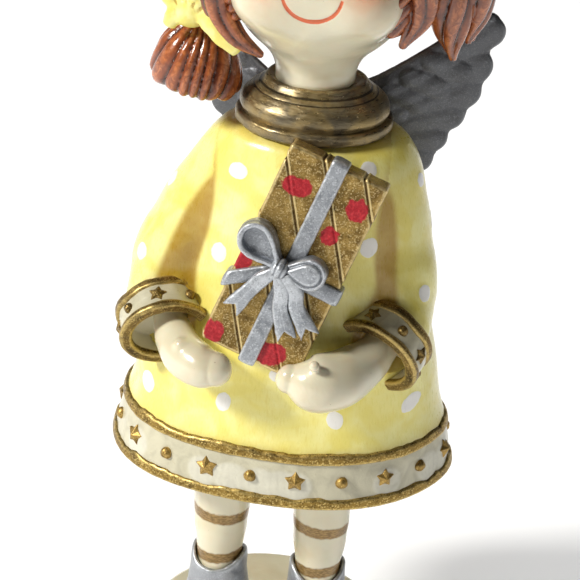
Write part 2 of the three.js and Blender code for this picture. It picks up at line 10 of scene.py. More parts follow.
import bmesh
import bpy
import numpy as np
from mathutils import Matrix, Vector


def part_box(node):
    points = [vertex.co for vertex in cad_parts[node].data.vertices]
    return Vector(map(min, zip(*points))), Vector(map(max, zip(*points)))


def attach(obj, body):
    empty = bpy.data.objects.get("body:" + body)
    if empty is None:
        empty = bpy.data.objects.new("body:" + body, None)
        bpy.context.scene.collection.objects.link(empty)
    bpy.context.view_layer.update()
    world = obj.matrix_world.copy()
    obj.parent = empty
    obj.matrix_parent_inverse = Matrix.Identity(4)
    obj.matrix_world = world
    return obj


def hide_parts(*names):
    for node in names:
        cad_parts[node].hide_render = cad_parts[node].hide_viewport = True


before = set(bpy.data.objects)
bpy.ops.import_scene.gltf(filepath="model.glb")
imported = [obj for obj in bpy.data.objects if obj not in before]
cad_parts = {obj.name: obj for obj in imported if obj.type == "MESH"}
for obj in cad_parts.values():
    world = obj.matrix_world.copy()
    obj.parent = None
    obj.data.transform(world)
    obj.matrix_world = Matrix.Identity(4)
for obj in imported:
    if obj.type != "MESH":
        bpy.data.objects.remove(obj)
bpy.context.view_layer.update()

MM = 0.001
BODY = "root"


def node_box(name):
    low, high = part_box(name)
    return np.array(low) / MM, np.array(high) / MM


# ---- measures read from the frame, in millimetres --------------------------------------------

BASE_LOW, BASE_HIGH = node_box("base_plinth")
BASE_RADIUS = (BASE_HIGH[0] - BASE_LOW[0]) / 2
BASE_TOP = BASE_HIGH[2]
HEM_Z = node_box("hem_trim_lower")[0][2]
HEM_TOP = node_box("hem_trim_upper")[1][2]
DRESS_TOP = node_box("dress")[1][2]
HEAD_LOW, HEAD_HIGH = node_box("head")
HEAD_RADIUS = (HEAD_HIGH[0] - HEAD_LOW[0]) / 2
HEAD_X = (HEAD_HIGH[0] + HEAD_LOW[0]) / 2
HEAD_CENTRE = np.array([HEAD_X, 0, HEAD_HIGH[2] - HEAD_RADIUS])
NECK_FOOT = HEAD_LOW[2]
GIFT_LOW, GIFT_HIGH = node_box("gift_box")
GIFT_CENTRE = (GIFT_LOW + GIFT_HIGH) / 2

# ---- dimensions of the sculpted body, in millimetres -----------------------------------------

LEG_SPREAD = 12
LEG_FORWARD = -6
LEG_TOP = 66
TOE_OUT = 12  # degrees

LEAN = 2.6
SKIRT_DEPTH = 0.69
COLLAR_DEPTH = 0.87
TRIM_HEIGHT = 2.2
BAND_THICKNESS = 2.2
DRESS_OUTLINE = [
    (60, 40), (66, 38.9), (72, 37.7), (78, 35.9), (88, 34), (100, 30.6),
    (112, 26.8), (124, 23.8), (134, 21.2), (140, 18.9), (143.6, 16.4), (147, 13),
]
STUD_COUNT = 20
FIRST_STAR = math.radians(-79)
STAR_RADIUS = 2.5
BEAD_RADIUS = 1.45
STUD_RIDGE = -0.6  # the hollowness given to every stud: a ridge value, so each stud gets a painted highlight

CUFF_LENGTH = 8.6
CUFF_RADIUS = 9.7
CUFF_BORE = 8
CUFF_DEPTH = 6
ARMS = {
    "left": {
        "opening": (-24.5, -19, 96),
        "facing": (0.36, -0.84, -0.4),
        "sleeve": [(-5, 1, 140), (-13.4, 0.5, 131.6), (-18.9, 0, 122.6),
                   (-22.4, -0.5, 113), (-24.8, -4.5, 104.6), (-26.4, -13.5, 98.6)],
        "hand": [(-24.6, -14, 99), (-22.6, -20, 97), (-18.8, -26.2, 95.6),
                 (-14.6, -29.4, 95.2), (-11.4, -30.2, 95.4)],
        "sizes": [(4, 4), (4.6, 4.4), (5.2, 4.9), (4.9, 4.6), (4, 3.8)],
        "bump": (-19.6, -28.6, 99.4),
    },
    "right": {
        "opening": (22, -19, 97),
        "facing": (-0.36, -0.84, -0.4),
        "sleeve": [(8, 1, 141.5), (16.6, 0.5, 134.5), (19.2, 0, 125.5),
                   (20.4, -0.5, 114.5), (22.2, -4.5, 105.4), (24, -13.5, 99.6)],
        "hand": [(23.5, -13, 99.5), (21, -21, 97.5), (16, -28, 96),
                 (10.5, -31.5, 95.8), (5.5, -32, 96.5)],
        "sizes": [(4.2, 4.2), (5, 5), (6.4, 6.2), (6.4, 6), (3.4, 3)],
        "bump": (11, -35.6, 102.4),
    },
}
SLEEVE_SIZES = [(6, 7), (8.6, 9.8), (10.4, 11.8), (11.2, 12.4), (11.3, 11.7), (9.6, 9.6)]

GIFT_HALF = np.array([11.3, 3.5, 23.8])
GIFT_LEAN = math.radians(-12)
GIFT_TILT = math.radians(19.5)
RIBBON_HALF = 1.9
RIBBON_THICKNESS = 1.1


# ---- vectors, curves and distance fields -----------------------------------------------------

def unit(vector):
    vector = np.asarray(vector, float)
    return vector / np.maximum(np.linalg.norm(vector, axis=-1, keepdims=True), 1e-9)


def clamp01(value):
    return np.clip(value, 0, 1)


def smooth01(value):
    value = clamp01(value)
    return value * value * (3 - 2 * value)


def spline(points, count):
    """Points at even steps along a smooth curve through the given ones."""
    points = np.asarray(points, float)
    slopes = np.gradient(points, axis=0)
    at = np.linspace(0, len(points) - 1, count)
    start = np.minimum(at.astype(int), len(points) - 2)
    t = (at - start)[:, None]
    a, b = points[start], points[start + 1]
    return (
        a * (2 * t**3 - 3 * t**2 + 1)
        + slopes[start] * (t**3 - 2 * t**2 + t)
        + b * (3 * t**2 - 2 * t**3)
        + slopes[start + 1] * (t**3 - t**2)
    )


def joined(a, b, soft):
    """The union of two fields with a fillet."""
    mix = clamp01(0.5 + 0.5 * (b - a) / soft)
    return b + (a - b) * mix - soft * mix * (1 - mix)


def common(a, b, soft):
    return -joined(-a, -b, soft)


def without(a, b, soft):
    return common(a, -b, soft)


def ellipsoid(p, centre, radii):
    q = (p - np.asarray(centre, float)) / np.asarray(radii, float)
    near = np.linalg.norm(q, axis=1)
    far = np.linalg.norm(q / np.asarray(radii, float), axis=1)
    return near * (near - 1) / np.maximum(far, 1e-6)


def rounded_box(p, half, rounding):
    q = np.abs(p) - (np.asarray(half, float) - rounding)
    outside = np.linalg.norm(np.maximum(q, 0), axis=1)
    return outside + np.minimum(q.max(1), 0) - rounding


def uneven(p, size, seed=0.0):
    """A soft hand-made unevenness between -1 and 1, with features of the given size."""
    x, y, z = (p * (math.tau / size)).T
    first = np.sin(x + 1.7 * np.sin(0.6 * y + seed) + seed)
    second = np.sin(0.9 * y + 1.3 * np.sin(0.7 * z + 2.1 * seed))
    third = np.sin(1.1 * z + 1.5 * np.sin(0.5 * x + 1.3 * seed))
    return (first + second + third) / 3


class Strand:
    """A limb, lock or ribbon: a smooth path whose section has a width and a depth."""

    STEPS = 60

    def __init__(self, points, sizes, facing=(0, -1, 0)):
        self.centres = spline(points, self.STEPS)
        self.sizes = spline([np.broadcast_to(size, 2) for size in sizes], self.STEPS)
        along = np.gradient(self.centres, axis=0)
        self.spacing = np.linalg.norm(along, axis=1)
        self.along = unit(along)
        self.side = unit(np.cross(self.along, facing))
        self.front = np.cross(self.side, self.along)

    def locate(self, p):
        """Place along the path from 0 to 1, and the offsets across, in depth and past the ends."""
        reach = (self.centres**2).sum(1) - 2 * p @ self.centres.T
        near = np.argmin(reach, axis=1)
        ahead = ((p - self.centres[near]) * self.along[near]).sum(1) / self.spacing[near]
        at = np.clip(near + np.clip(ahead, -0.7, 0.7), 0, self.STEPS - 1)
        start = np.minimum(at.astype(int), self.STEPS - 2)
        share = (at - start)[:, None]

        def between(values):
            return values[start] + (values[start + 1] - values[start]) * share

        offset = p - between(self.centres)
        side, front = unit(between(self.side)), unit(between(self.front))
        across = (offset * side).sum(1)
        deep = (offset * front).sum(1)
        rest = offset - across[:, None] * side - deep[:, None] * front
        past = np.linalg.norm(rest, axis=1)
        return at / (self.STEPS - 1), across, deep, past, between(self.sizes)

    def field(self, p):
        _, across, deep, past, size = self.locate(p)
        small = np.maximum(size.min(1), 0.2)
        reach = np.sqrt((across / size[:, 0]) ** 2 + (deep / size[:, 1]) ** 2 + (past / small) ** 2)
        return (reach - 1) * small

    def around(self, p):
        """Place along the path, and the angle round it."""
        t, across, deep, _, _ = self.locate(p)
        return t, np.arctan2(deep, across)


def ridges(angle, count):
    """Rounded crests with narrow grooves between them: 1 on a crest, 0 in a groove."""
    return np.sqrt(np.abs(np.sin(angle * count / 2)))


# ---- from field to mesh ----------------------------------------------------------------------

CORNERS = np.array([(i, j, k) for i in (0, 1) for j in (0, 1) for k in (0, 1)])
EDGES = [
    (a, b) for a in range(8) for b in range(a + 1, 8) if np.abs(CORNERS[a] - CORNERS[b]).sum() == 1
]
CHUNK = 20000
POOL = ThreadPoolExecutor(4)
TETRA = np.array([(1, 1, 1), (1, -1, -1), (-1, 1, -1), (-1, -1, 1)], float)
SLOPE_STEP = 0.03
BLOCK = 3


def sampled(field, points):
    parts = np.array_split(points, len(points) // CHUNK + 1)
    return np.concatenate(list(POOL.map(field, parts)))


def settled(field, points, cell):
    """Moves the points onto the exact surface."""
    for _ in range(2):
        slope = sum(
            corner * sampled(field, points + SLOPE_STEP * corner)[:, None] for corner in TETRA
        ) / (4 * SLOPE_STEP)
        steep = np.maximum((slope**2).sum(1), 0.05)
        move = -sampled(field, points) / steep
        points = points + np.clip(move, -cell, cell)[:, None] * slope
    return points


def grid_of(count):
    return np.stack(np.meshgrid(*[np.arange(n) for n in count], indexing="ij"), -1).reshape(-1, 3)


def grid_values(field, low, cell, count):
    """The field at every grid point, taken exactly only in blocks near the surface."""
    blocks = -(-count // BLOCK)
    middles = low + cell * (BLOCK * grid_of(blocks) + (BLOCK - 1) / 2)
    value = sampled(field, middles).reshape(blocks)
    for axis in range(3):
        value = value.repeat(BLOCK, axis)
    value = value[: count[0], : count[1], : count[2]]
    near = np.abs(value) < 1.25 * BLOCK * cell
    value[near] = sampled(field, low + cell * np.argwhere(near))
    return value


def skin(field, low, high, cell):
    """Vertices and quads of the closed surface where the field is zero, by surface nets."""
    low = np.asarray(low, float) - 2 * cell
    count = np.ceil((np.asarray(high, float) + 2 * cell - low) / cell).astype(int) + 1
    value = grid_values(field, low, cell, count)
    for axis in range(3):
        for end in (0, -1):
            np.moveaxis(value, axis, 0)[end] = cell
    inside = value < 0

    span = (slice(None, -1), slice(1, None))
    filled = sum(inside[span[i], span[j], span[k]].astype(np.int8) for i, j, k in CORNERS)
    cells = np.argwhere((filled > 0) & (filled < 8))
    number = np.full(filled.shape, -1)
    number[tuple(cells.T)] = np.arange(len(cells))

    at = cells[:, None, :] + CORNERS
    corner_value = value[at[..., 0], at[..., 1], at[..., 2]]
    total = np.zeros((len(cells), 3))
    hits = np.zeros(len(cells))
    for a, b in EDGES:
        first, second = corner_value[:, a], corner_value[:, b]
        crosses = (first < 0) != (second < 0)
        share = np.where(crosses, first / np.where(crosses, first - second, 1), 0)
        total += crosses[:, None] * (CORNERS[a] + share[:, None] * (CORNERS[b] - CORNERS[a]))
        hits += crosses
    points = low + cell * (cells + total / hits[:, None])

    quads = []
    for axis in range(3):
        step_a, step_b = np.eye(3, dtype=int)[[(axis + 1) % 3, (axis + 2) % 3]]
        along = np.moveaxis(inside, axis, 0)
        changes = np.moveaxis(along[:-1] != along[1:], 0, axis)
        spots = np.argwhere(changes)
        round_edge = [spots, spots - step_a, spots - step_a - step_b, spots - step_b]
        quad = np.stack([number[tuple(spot.T)] for spot in round_edge], 1)
        leaving = inside[tuple(spots.T)]
        quads.append(np.where(leaving[:, None], quad, quad[:, ::-1]))
    return settled(field, points, cell), np.concatenate(quads)


def hollowness(field, points, reach):
    """Positive in a groove or crease and negative on a ridge, per millimetre."""
    step = reach / math.sqrt(3)
    round_about = sum(sampled(field, points + step * corner) for corner in TETRA)
    return (4 * sampled(field, points) - round_about) / (2 * step**2)


def seat(piece, nodes):
    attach(piece, BODY)
    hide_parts(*nodes)


def mesh_object(name, points, faces, material, smooth=True):
    mesh = bpy.data.meshes.new(name)
    mesh.from_pydata((np.asarray(points) * MM).tolist(), [], [list(face) for face in faces])
    mesh.update()
    if smooth:
        mesh.shade_smooth()
    mesh.materials.append(material)
    piece = bpy.data.objects.new(name, mesh)
    bpy.context.scene.collection.objects.link(piece)
    return piece


def add_layer(piece, layer, values):
    attribute = piece.data.attributes.new(layer, "FLOAT", "POINT")
    attribute.data.foreach_set("value", np.asarray(values, np.float32))


def sculpt(name, field, nodes, margin, cell, finish, paint=None, crease=None):
    """One piece of the object: the field's surface, with its painted attributes.

    The surface is looked for in the nodes' boxes, widened by the margin: one measure, or a pair
    for below and above.
    """
    below, above = margin if isinstance(margin, tuple) else (margin, margin)
    low = np.min([node_box(node)[0] for node in nodes], axis=0) - below
    high = np.max([node_box(node)[1] for node in nodes], axis=0) + above
    points, quads = skin(field, low, high, cell)
    piece = mesh_object(name, points, quads, FINISHES[finish])
    layers = dict(paint(points)) if paint else {}
    if crease:
        layers["hollow"] = hollowness(field, points, crease)
    for layer, values in layers.items():
        add_layer(piece, layer, values)
    seat(piece, nodes)


# ---- material building -----------------------------------------------------------------------

class Finish:
    """A Principled material with short calls for the nodes that this object needs."""

    def __init__(self, name, **sockets):
        self.material = bpy.data.materials.new(name)
        self.material.use_nodes = True
        self.tree = self.material.node_tree
        self.shader = self.tree.nodes["Principled BSDF"]
        for socket, value in sockets.items():
            self.shader.inputs[socket.replace("_", " ")].default_value = value
        self.place = self.tree.nodes.new("ShaderNodeTexCoord").outputs["Object"]

    def node(self, kind, **settings):
        node = self.tree.nodes.new(kind)
        for key, value in settings.items():
            setattr(node, key, value)
        return node

    def feed(self, socket, value):
        if isinstance(value, bpy.types.NodeSocket):
            self.tree.links.new(value, socket)
        else:
            socket.default_value = value

    def set(self, socket, value):
        self.feed(self.shader.inputs[socket], value)

    def noise(self, size_mm, detail=2.0, stretch=None, distortion=0.0):
        """Cloudy noise from 0 to 1 with features of the given size."""
        place = self.place
        if stretch:
            mapping = self.node("ShaderNodeMapping")
            mapping.inputs["Scale"].default_value = stretch
            self.feed(mapping.inputs["Vector"], place)
            place = mapping.outputs[0]
        texture = self.node("ShaderNodeTexNoise")
        self.feed(texture.inputs["Vector"], place)
        texture.inputs["Scale"].default_value = 1 / (size_mm * MM)
        texture.inputs["Detail"].default_value = detail
        texture.inputs["Distortion"].default_value = distortion
        return texture.outputs["Fac"]

    def grains(self, size_mm):
        """A random brightness for each grain of glitter."""
        texture = self.node("ShaderNodeTexVoronoi")
        self.feed(texture.inputs["Vector"], self.place)
        texture.inputs["Scale"].default_value = 1 / (size_mm * MM)
        split = self.node("ShaderNodeSeparateColor")
        self.feed(split.inputs[0], texture.outputs["Color"])
        return split.outputs[0]

    def layer(self, name):
        return self.node("ShaderNodeAttribute", attribute_name=name).outputs["Fac"]

    def math(self, operation, a, b=0.0):
        node = self.node("ShaderNodeMath", operation=operation)
        self.feed(node.inputs[0], a)
        self.feed(node.inputs[1], b)
        return node.outputs[0]

    def span(self, value, low, high, to_low=0.0, to_high=1.0):
        """Maps low..high smoothly onto to_low..to_high."""
        node = self.node("ShaderNodeMapRange", interpolation_type="SMOOTHSTEP")
        self.feed(node.inputs["Value"], value)
        for socket, number in zip(("From Min", "From Max", "To Min", "To Max"),
                                  (low, high, to_low, to_high)):
            node.inputs[socket].default_value = number
        return node.outputs["Result"]

    def blend(self, amount, a, b):
        node = self.node("ShaderNodeMix", data_type="RGBA")
        self.feed(node.inputs["Factor"], amount)
        self.feed(node.inputs[6], a)
        self.feed(node.inputs[7], b)
        return node.outputs[2]

    def bump(self, *layers):
        """Stacks (height, millimetres) pairs into one bumped normal."""
        normal = None
        for height, depth in layers:
            node = self.node("ShaderNodeBump")
            node.inputs["Distance"].default_value = depth * MM
            self.feed(node.inputs["Height"], height)
            if normal:
                self.feed(node.inputs["Normal"], normal)
            normal = node.outputs[0]
        self.set("Normal", normal)


def colour(red, green, blue):
    """A linear colour from 0 to 255 display values."""
    def linear(value):
        value = value / 255
        return value / 12.92 if value <= 0.04045 else ((value + 0.055) / 1.055) ** 2.4
    return (linear(red), linear(green), linear(blue), 1.0)


WHITE_PAINT = colour(240, 238, 232)
LEMON = colour(240, 226, 112)
PALE_LEMON = colour(250, 243, 158)
DEEP_LEMON = colour(224, 202, 74)
OCHRE = colour(176, 138, 34)
CREAM = colour(222, 215, 188)
WARM_CREAM = colour(208, 190, 150)


def lemon_enamel():
    """Brushed lemon enamel: ochre painted shade in the creases and raised white dots."""
    finish = Finish("lemon_enamel", Roughness=0.3, Coat_Weight=0.45, Coat_Roughness=0.12)
    cloudy = finish.noise(9, 3, distortion=0.6)
    streaks = finish.noise(1.4, 3, stretch=(2.4, 2.4, 0.45))
    base = finish.blend(finish.span(cloudy, 0.35, 0.7), LEMON, PALE_LEMON)
    base = finish.blend(finish.span(streaks, 0.5, 0.8, 0, 0.35), base, DEEP_LEMON)
    smudge = finish.noise(3.2, 4, distortion=0.8)
    # ochre painted shade in the creases, under the collar, above the hem and beside the cuffs
    painted_shade = finish.math("MULTIPLY", finish.layer("painted_shade"), finish.span(smudge, 0.2, 0.75, 0.85, 1))
    base = finish.blend(painted_shade, base, OCHRE)
    edge = finish.math("ADD", finish.layer("dots"), finish.span(finish.noise(1.6), 0, 1, -0.2, 0.2))
    inside = finish.span(edge, -0.09, 0.09, 1, 0)
    base = finish.blend(inside, base, WHITE_PAINT)
    base = finish.blend(finish.layer("underside"), base, CREAM)
    finish.set("Base Color", base)
    finish.set("Roughness", finish.span(streaks, 0.3, 0.8, 0.26, 0.42))
    finish.bump((finish.noise(2.6, 2), 0.1), (finish.noise(0.5, 3), 0.025))
    return finish.material


def metallic_paint(name, dark, light, glint, grain=0.22, metallic=0.85, rough=(0.34, 0.5), ridge_highlight=0.5,
                   sparkle=0.5):
    """Hand-applied metallic paint with glitter: painted shade in recesses and a painted highlight on
    edges.
    """
    finish = Finish(name, Metallic=metallic, Specular_IOR_Level=0.6)
    patches = finish.noise(5, 4, distortion=0.7)
    base = finish.blend(finish.span(patches, 0.25, 0.55), dark, light)
    hollow = finish.layer("hollow")
    # painted shade in the recesses
    base = finish.blend(finish.span(hollow, 0.25, 1.6, 0, 0.7), base, dark)
    # painted highlight on the ridges and edges
    base = finish.blend(finish.span(hollow, -0.4, -1.6, 0, ridge_highlight), base, glint)
    grains = finish.grains(grain)
    base = finish.blend(finish.span(grains, 0.7, 1.0, 0, sparkle), base, glint)
    base = finish.blend(finish.span(grains, 0.25, 0.0, 0, sparkle), base, dark)
    finish.set("Base Color", base)
    finish.set("Roughness", finish.span(patches, 0.25, 0.75, *rough))
    finish.bump((grains, 0.2 * grain), (finish.noise(1.1, 3), 0.05))
    return finish.material


def white_band():
    """Off-white band with grey smudges and thick white paint dragged round the studs."""
    finish = Finish("band_white", Roughness=0.32, Coat_Weight=0.4, Coat_Roughness=0.15)
    smudge = finish.noise(5, 4, distortion=1.0)
    grey = finish.span(smudge, 0.35, 0.75, 0, 0.7)
    base = finish.blend(grey, colour(204, 198, 170), colour(170, 164, 138))
    rubbed = finish.noise(1.8, 4, distortion=1.5)
    base = finish.blend(finish.span(rubbed, 0.66, 0.78, 0, 0.5), base, colour(150, 128, 70))
    base = finish.blend(finish.span(finish.layer("smear"), 0, 1, 0, 0.5), base, colour(222, 220, 206))
    base = finish.blend(finish.layer("lining"), base, CREAM)
    finish.set("Base Color", base)
    finish.bump((finish.noise(1.6, 3, distortion=1.2), 0.09))
    return finish.material


def porcelain(name, tint=CREAM, shade=WARM_CREAM):
    """Glossy cream enamel over resin, slightly translucent."""
    finish = Finish(name, Roughness=0.24, Coat_Weight=0.6, Coat_Roughness=0.08,
                    Subsurface_Weight=0.12, Subsurface_Scale=0.002)
    cloudy = finish.noise(11, 3, distortion=0.5)
    base = finish.blend(finish.span(cloudy, 0.35, 0.8, 0, 0.55), tint, shade)
    specks = finish.noise(0.7, 1)
    base = finish.blend(finish.span(specks, 0.78, 0.84, 0, 0.5), base, colour(120, 96, 60))
    finish.bump((finish.noise(4, 2), 0.12), (finish.noise(0.6, 2), 0.015))
    return finish, base


def plain_porcelain(name):
    finish, base = porcelain(name)
    finish.set("Base Color", base)
    return finish.material


def face_paint():
    """The head: blushed cheeks, a thin smile, small eyes and brows on cream enamel."""
    finish, base = porcelain("face_cream")
    blush = finish.layer("blush")
    blush = finish.math("MULTIPLY", blush, finish.span(finish.noise(2.2, 3), 0.2, 0.8, 0.6, 1))
    base = finish.blend(blush, base, colour(238, 150, 112))
    ragged = finish.span(finish.noise(1.6, 2), 0, 1, -0.06, 0.06)
    for layer, paint in (
        ("smile", colour(216, 96, 40)),
        ("brows", colour(120, 62, 28)),
        ("eyes", colour(28, 20, 16)),
        ("glints", colour(244, 240, 232)),
    ):
        edge = finish.math("ADD", finish.layer(layer), ragged)
        base = finish.blend(finish.span(edge, -0.1, 0.1, 1, 0), base, paint)
    finish.set("Base Color", base)
    return finish.material


def stocking():
    """Cream legs with brushed bronze stripes at the layer's zeroes."""
    finish, base = porcelain("stocking_cream")
    ragged = finish.span(finish.noise(1.6, 3), 0, 1, -0.3, 0.3)
    edge = finish.math("ADD", finish.layer("stripes"), ragged)
    stripe = finish.span(edge, -0.35, 0.25, 1, 0)
    streaks = finish.noise(0.9, 3, stretch=(1, 1, 4))
    bronze = finish.blend(finish.span(streaks, 0.35, 0.7), colour(118, 90, 42), colour(166, 134, 76))
    finish.set("Base Color", finish.blend(stripe, base, bronze))
    finish.set("Metallic", finish.math("MULTIPLY", stripe, 0.5))
    finish.set("Roughness", finish.span(stripe, 0, 1, 0.24, 0.42))
    return finish.material


def gift_paper():
    """Coarse gold glitter with dabs of red, painted shade in the incised lines and a painted highlight on
    their lips.
    """
    finish = Finish("gift_gold", Metallic=0.8)
    dark, gold, glint = colour(108, 84, 42), colour(170, 140, 78), colour(236, 214, 156)
    patches = finish.noise(4, 4, distortion=0.6)
    base = finish.blend(finish.span(patches, 0.3, 0.6), dark, gold)
    grains = finish.grains(0.26)
    base = finish.blend(finish.span(grains, 0.66, 1.0, 0, 0.6), base, glint)
    base = finish.blend(finish.span(grains, 0.3, 0.0, 0, 0.5), base, dark)
    hollow = finish.layer("hollow")
    # painted highlight on the raised lips and edges
    base = finish.blend(finish.span(hollow, -0.5, -1.8, 0, 0.7), base, glint)
    # painted shade down in the incised grooves
    base = finish.blend(finish.span(finish.layer("groove"), 0, 1, 0, 0.75), base, colour(70, 48, 22))
    ragged = finish.span(finish.noise(0.8, 3), 0, 1, -0.4, 0.4)
    edge = finish.math("ADD", finish.layer("hearts"), ragged)
    red = finish.span(edge, -0.18, 0.18, 1, 0)
    thin = finish.span(finish.noise(0.6, 2), 0.4, 0.75)
    paint = finish.blend(thin, colour(164, 14, 30), colour(200, 44, 52))
    base = finish.blend(red, base, paint)
    finish.set("Base Color", base)
    finish.set("Metallic", finish.span(red, 0, 1, 0.8, 0.1))
    finish.set("Roughness", finish.span(grains, 0, 1, 0.3, 0.5))
    finish.bump((grains, 0.07), (finish.noise(0.7, 3), 0.07))
    return finish.material


def auburn_hair():
    """Auburn gloss with painted shade down in the grooves and a copper painted highlight on the crests.
    """
    finish = Finish("hair_auburn", Roughness=0.26, Coat_Weight=0.6, Coat_Roughness=0.1)
    hollow = finish.layer("hollow")
    patches = finish.noise(3.2, 4, distortion=0.6)
    base = finish.blend(finish.span(patches, 0.3, 0.7), colour(110, 50, 22), colour(148, 76, 38))
    # copper painted highlight on the crests, broken into patches
    highlight_patches = finish.span(finish.noise(1.6, 4, distortion=1.2), 0.35, 0.7, 0.1, 0.95)
    crest = finish.math("MULTIPLY", finish.span(hollow, 0.25, 0.0), highlight_patches)
    base = finish.blend(crest, base, colour(196, 116, 64))
    # painted shade down in the grooves
    base = finish.blend(finish.span(hollow, 0.3, 0.8, 0, 0.95), base, colour(30, 12, 8))
    finish.set("Base Color", base)
    finish.bump((finish.noise(0.9, 3, distortion=0.8), 0.08))
    return finish.material


def bow_enamel():
    """Lemon hair ribbons with ochre painted shade in the folds."""
    finish = Finish("hair_bow_yellow", Roughness=0.3, Coat_Weight=0.45, Coat_Roughness=0.12)
    cloudy = finish.noise(4, 3, distortion=0.6)
    base = finish.blend(finish.span(cloudy, 0.35, 0.7), LEMON, PALE_LEMON)
    # ochre painted shade in the folds
    base = finish.blend(finish.span(finish.layer("hollow"), 0.02, 0.9, 0, 0.85), base, OCHRE)
    finish.set("Base Color", base)
    finish.bump((finish.noise(1.2, 3), 0.06))
    return finish.material


def brushed_collar():
    """Pewter brushed over gold, with painted shade in the grooves."""
    finish = Finish("collar_pewter", Metallic=0.75, Roughness=0.36)
    brushed = finish.noise(1.3, 4, stretch=(0.7, 0.7, 4))
    patches = finish.noise(6, 3, distortion=0.7)
    base = finish.blend(finish.span(patches, 0.35, 0.65), colour(112, 102, 82), colour(150, 130, 88))
    base = finish.blend(finish.span(brushed, 0.45, 0.85, 0, 0.4), base, colour(178, 168, 138))
    # painted shade in the grooves
    base = finish.blend(finish.span(finish.layer("hollow"), 0.3, 1.2, 0, 0.85), base, colour(46, 38, 26))
    finish.set("Base Color", base)
    finish.set("Roughness", finish.span(brushed, 0.3, 0.8, 0.26, 0.46))
    finish.bump((brushed, 0.05), (finish.grains(0.25), 0.03))
    return finish.material


GOLD_DARK, GOLD_LIGHT, GOLD_GLINT = colour(84, 64, 28), colour(150, 122, 60), colour(226, 200, 128)
SILVER_GLINT = colour(222, 226, 230)
FINISHES = {
    "dress": lemon_enamel(),
    "band": white_band(),
    "trim": metallic_paint("trim_gold", GOLD_DARK, GOLD_LIGHT, GOLD_GLINT, 0.28, sparkle=0.75),
    "stud": metallic_paint("stud_gold", colour(104, 78, 34), colour(172, 140, 76), GOLD_GLINT, ridge_highlight=0.7),
    "cuff": metallic_paint("cuff_gold", colour(58, 44, 22), colour(126, 102, 54), GOLD_GLINT),
    "skin": plain_porcelain("skin_cream"),
    "face": face_paint(),
    "base": plain_porcelain("base_cream"),
    "leg": stocking(),
    "gift": gift_paper(),
    "ribbon": metallic_paint("ribbon_silver", colour(128, 132, 138), colour(166, 170, 176),
                             SILVER_GLINT, 0.26, 0.7, (0.36, 0.48), 0.4, 0.5),
    "collar": brushed_collar(),
    "hair": auburn_hair(),
    "bow": bow_enamel(),
    "wing": metallic_paint("wing_silver", colour(80, 80, 82), colour(96, 97, 100),
                           colour(176, 180, 184), 0.2, 0.8, (0.34, 0.46), 0.3, 0.15),
    "shoe": metallic_paint("shoe_silver", colour(128, 131, 136), colour(162, 165, 170),
                           SILVER_GLINT, 0.2, 0.65, (0.3, 0.42), 0.3, 0.25),
}


# ---- base, shoes and legs --------------------------------------------------------------------

def base_field(p):
    centred = p - np.array([0, 0, BASE_TOP / 2])
    reach = np.hypot(centred[:, 0], centred[:, 1])
    flat = np.stack([reach, centred[:, 2]], 1)
    rounding = 1.6
    body = rounded_box(flat, (BASE_RADIUS, BASE_TOP / 2), rounding)
    return np.maximum(body + 0.12 * uneven(p, 14, 0.4) * (p[:, 2] > 2), -p[:, 2])


def make_base():
    sculpt("base_plinth_cast", base_field, ["base_plinth"], 0, 0.6, "base")


def leg_radius(z):
    return np.interp(z, (20, 30, 34, 39, 45, 67), (5.1, 5.3, 5.6, 6.3, 6.7, 6.8))


def make_leg(side, sign):
    centre = np.array([sign * LEG_SPREAD, LEG_FORWARD, 0])

    def from_leg(p):
        q = p - centre
        turn = -sign * math.radians(TOE_OUT)
        x = q[:, 0] * math.cos(turn) - q[:, 1] * math.sin(turn)
        y = q[:, 0] * math.sin(turn) + q[:, 1] * math.cos(turn)
        return np.stack([x, y, q[:, 2] - BASE_TOP], 1)

    def boot(p):
        q = from_leg(p)
        x, y, z = q.T
        toe = ellipsoid(q, (0, -6.6, 4.4), (8.7, 10.4, 7.4))
        heel = ellipsoid(q, (0, 0.8, 5), (8.5, 8.2, 8))
        foot = joined(toe, heel, 3)
        shaft = np.hypot(x, y - 0.2) - np.interp(z, (4, 12, 18, 24), (8, 7.6, 6.9, 6.7))
        body = joined(foot, shaft, 4)
        crease = 0.35 * np.exp(-((z - 13.5 - 0.25 * y) / 0.8) ** 2) * clamp01(-y / 6)
        body = body + crease + 0.1 * uneven(p, 6, sign)
        sole = body - 0.55 * smooth01((2.6 - z) / 0.7)
        rim = 23 + 0.9 * np.cos(np.arctan2(y, x) * 2) - 1.4 * smooth01(-y / 6)
        body = common(sole, z - rim, 0.8)
        body = common(body, -0.05 - z, 0.5)
        well = np.maximum(np.hypot(x, y) - 5.7, 20.4 - z)
        return without(body, well, 0.4)

    def leg(p):
        z = p[:, 2]
        reach = np.hypot(p[:, 0] - centre[0], p[:, 1] - centre[1])
        calf = reach - leg_radius(z) + 0.12 * uneven(p, 9, sign)
        return common(calf, np.abs(z - (LEG_TOP + 27) / 2) - (LEG_TOP - 27) / 2, 1)

    def stripes(p):
        z = p[:, 2]
        slant = 0.06 * (p[:, 0] - centre[0])
        lower = np.abs(z - 32.6 - slant) - 1.5
        upper = np.abs(z - 44.6 + slant) - 1.5
        return {"stripes": np.minimum(lower, upper)}

    sculpt(side + "_boot", boot, [side + "_shoe"], 2, 0.5, "shoe", crease=0.8)
    sculpt(side + "_stocking", leg, [side + "_leg"], 1, 0.6, "leg", paint=stripes)


# ---- dress, sleeves and hem ------------------------------------------------------------------

OUTLINE = spline(DRESS_OUTLINE, 200)


def dress_width(z):
    return np.interp(z, OUTLINE[:, 0], OUTLINE[:, 1])


def lean(z):
    return LEAN * clamp01((z - HEM_Z) / (145 - HEM_Z))


def depth_ratio(z):
    return SKIRT_DEPTH + (COLLAR_DEPTH - SKIRT_DEPTH) * clamp01((z - 88) / 57)


def ripple(angle, z):
    return 0.55 * clamp01((92 - z) / 32) * np.sin(5 * angle + 0.6)


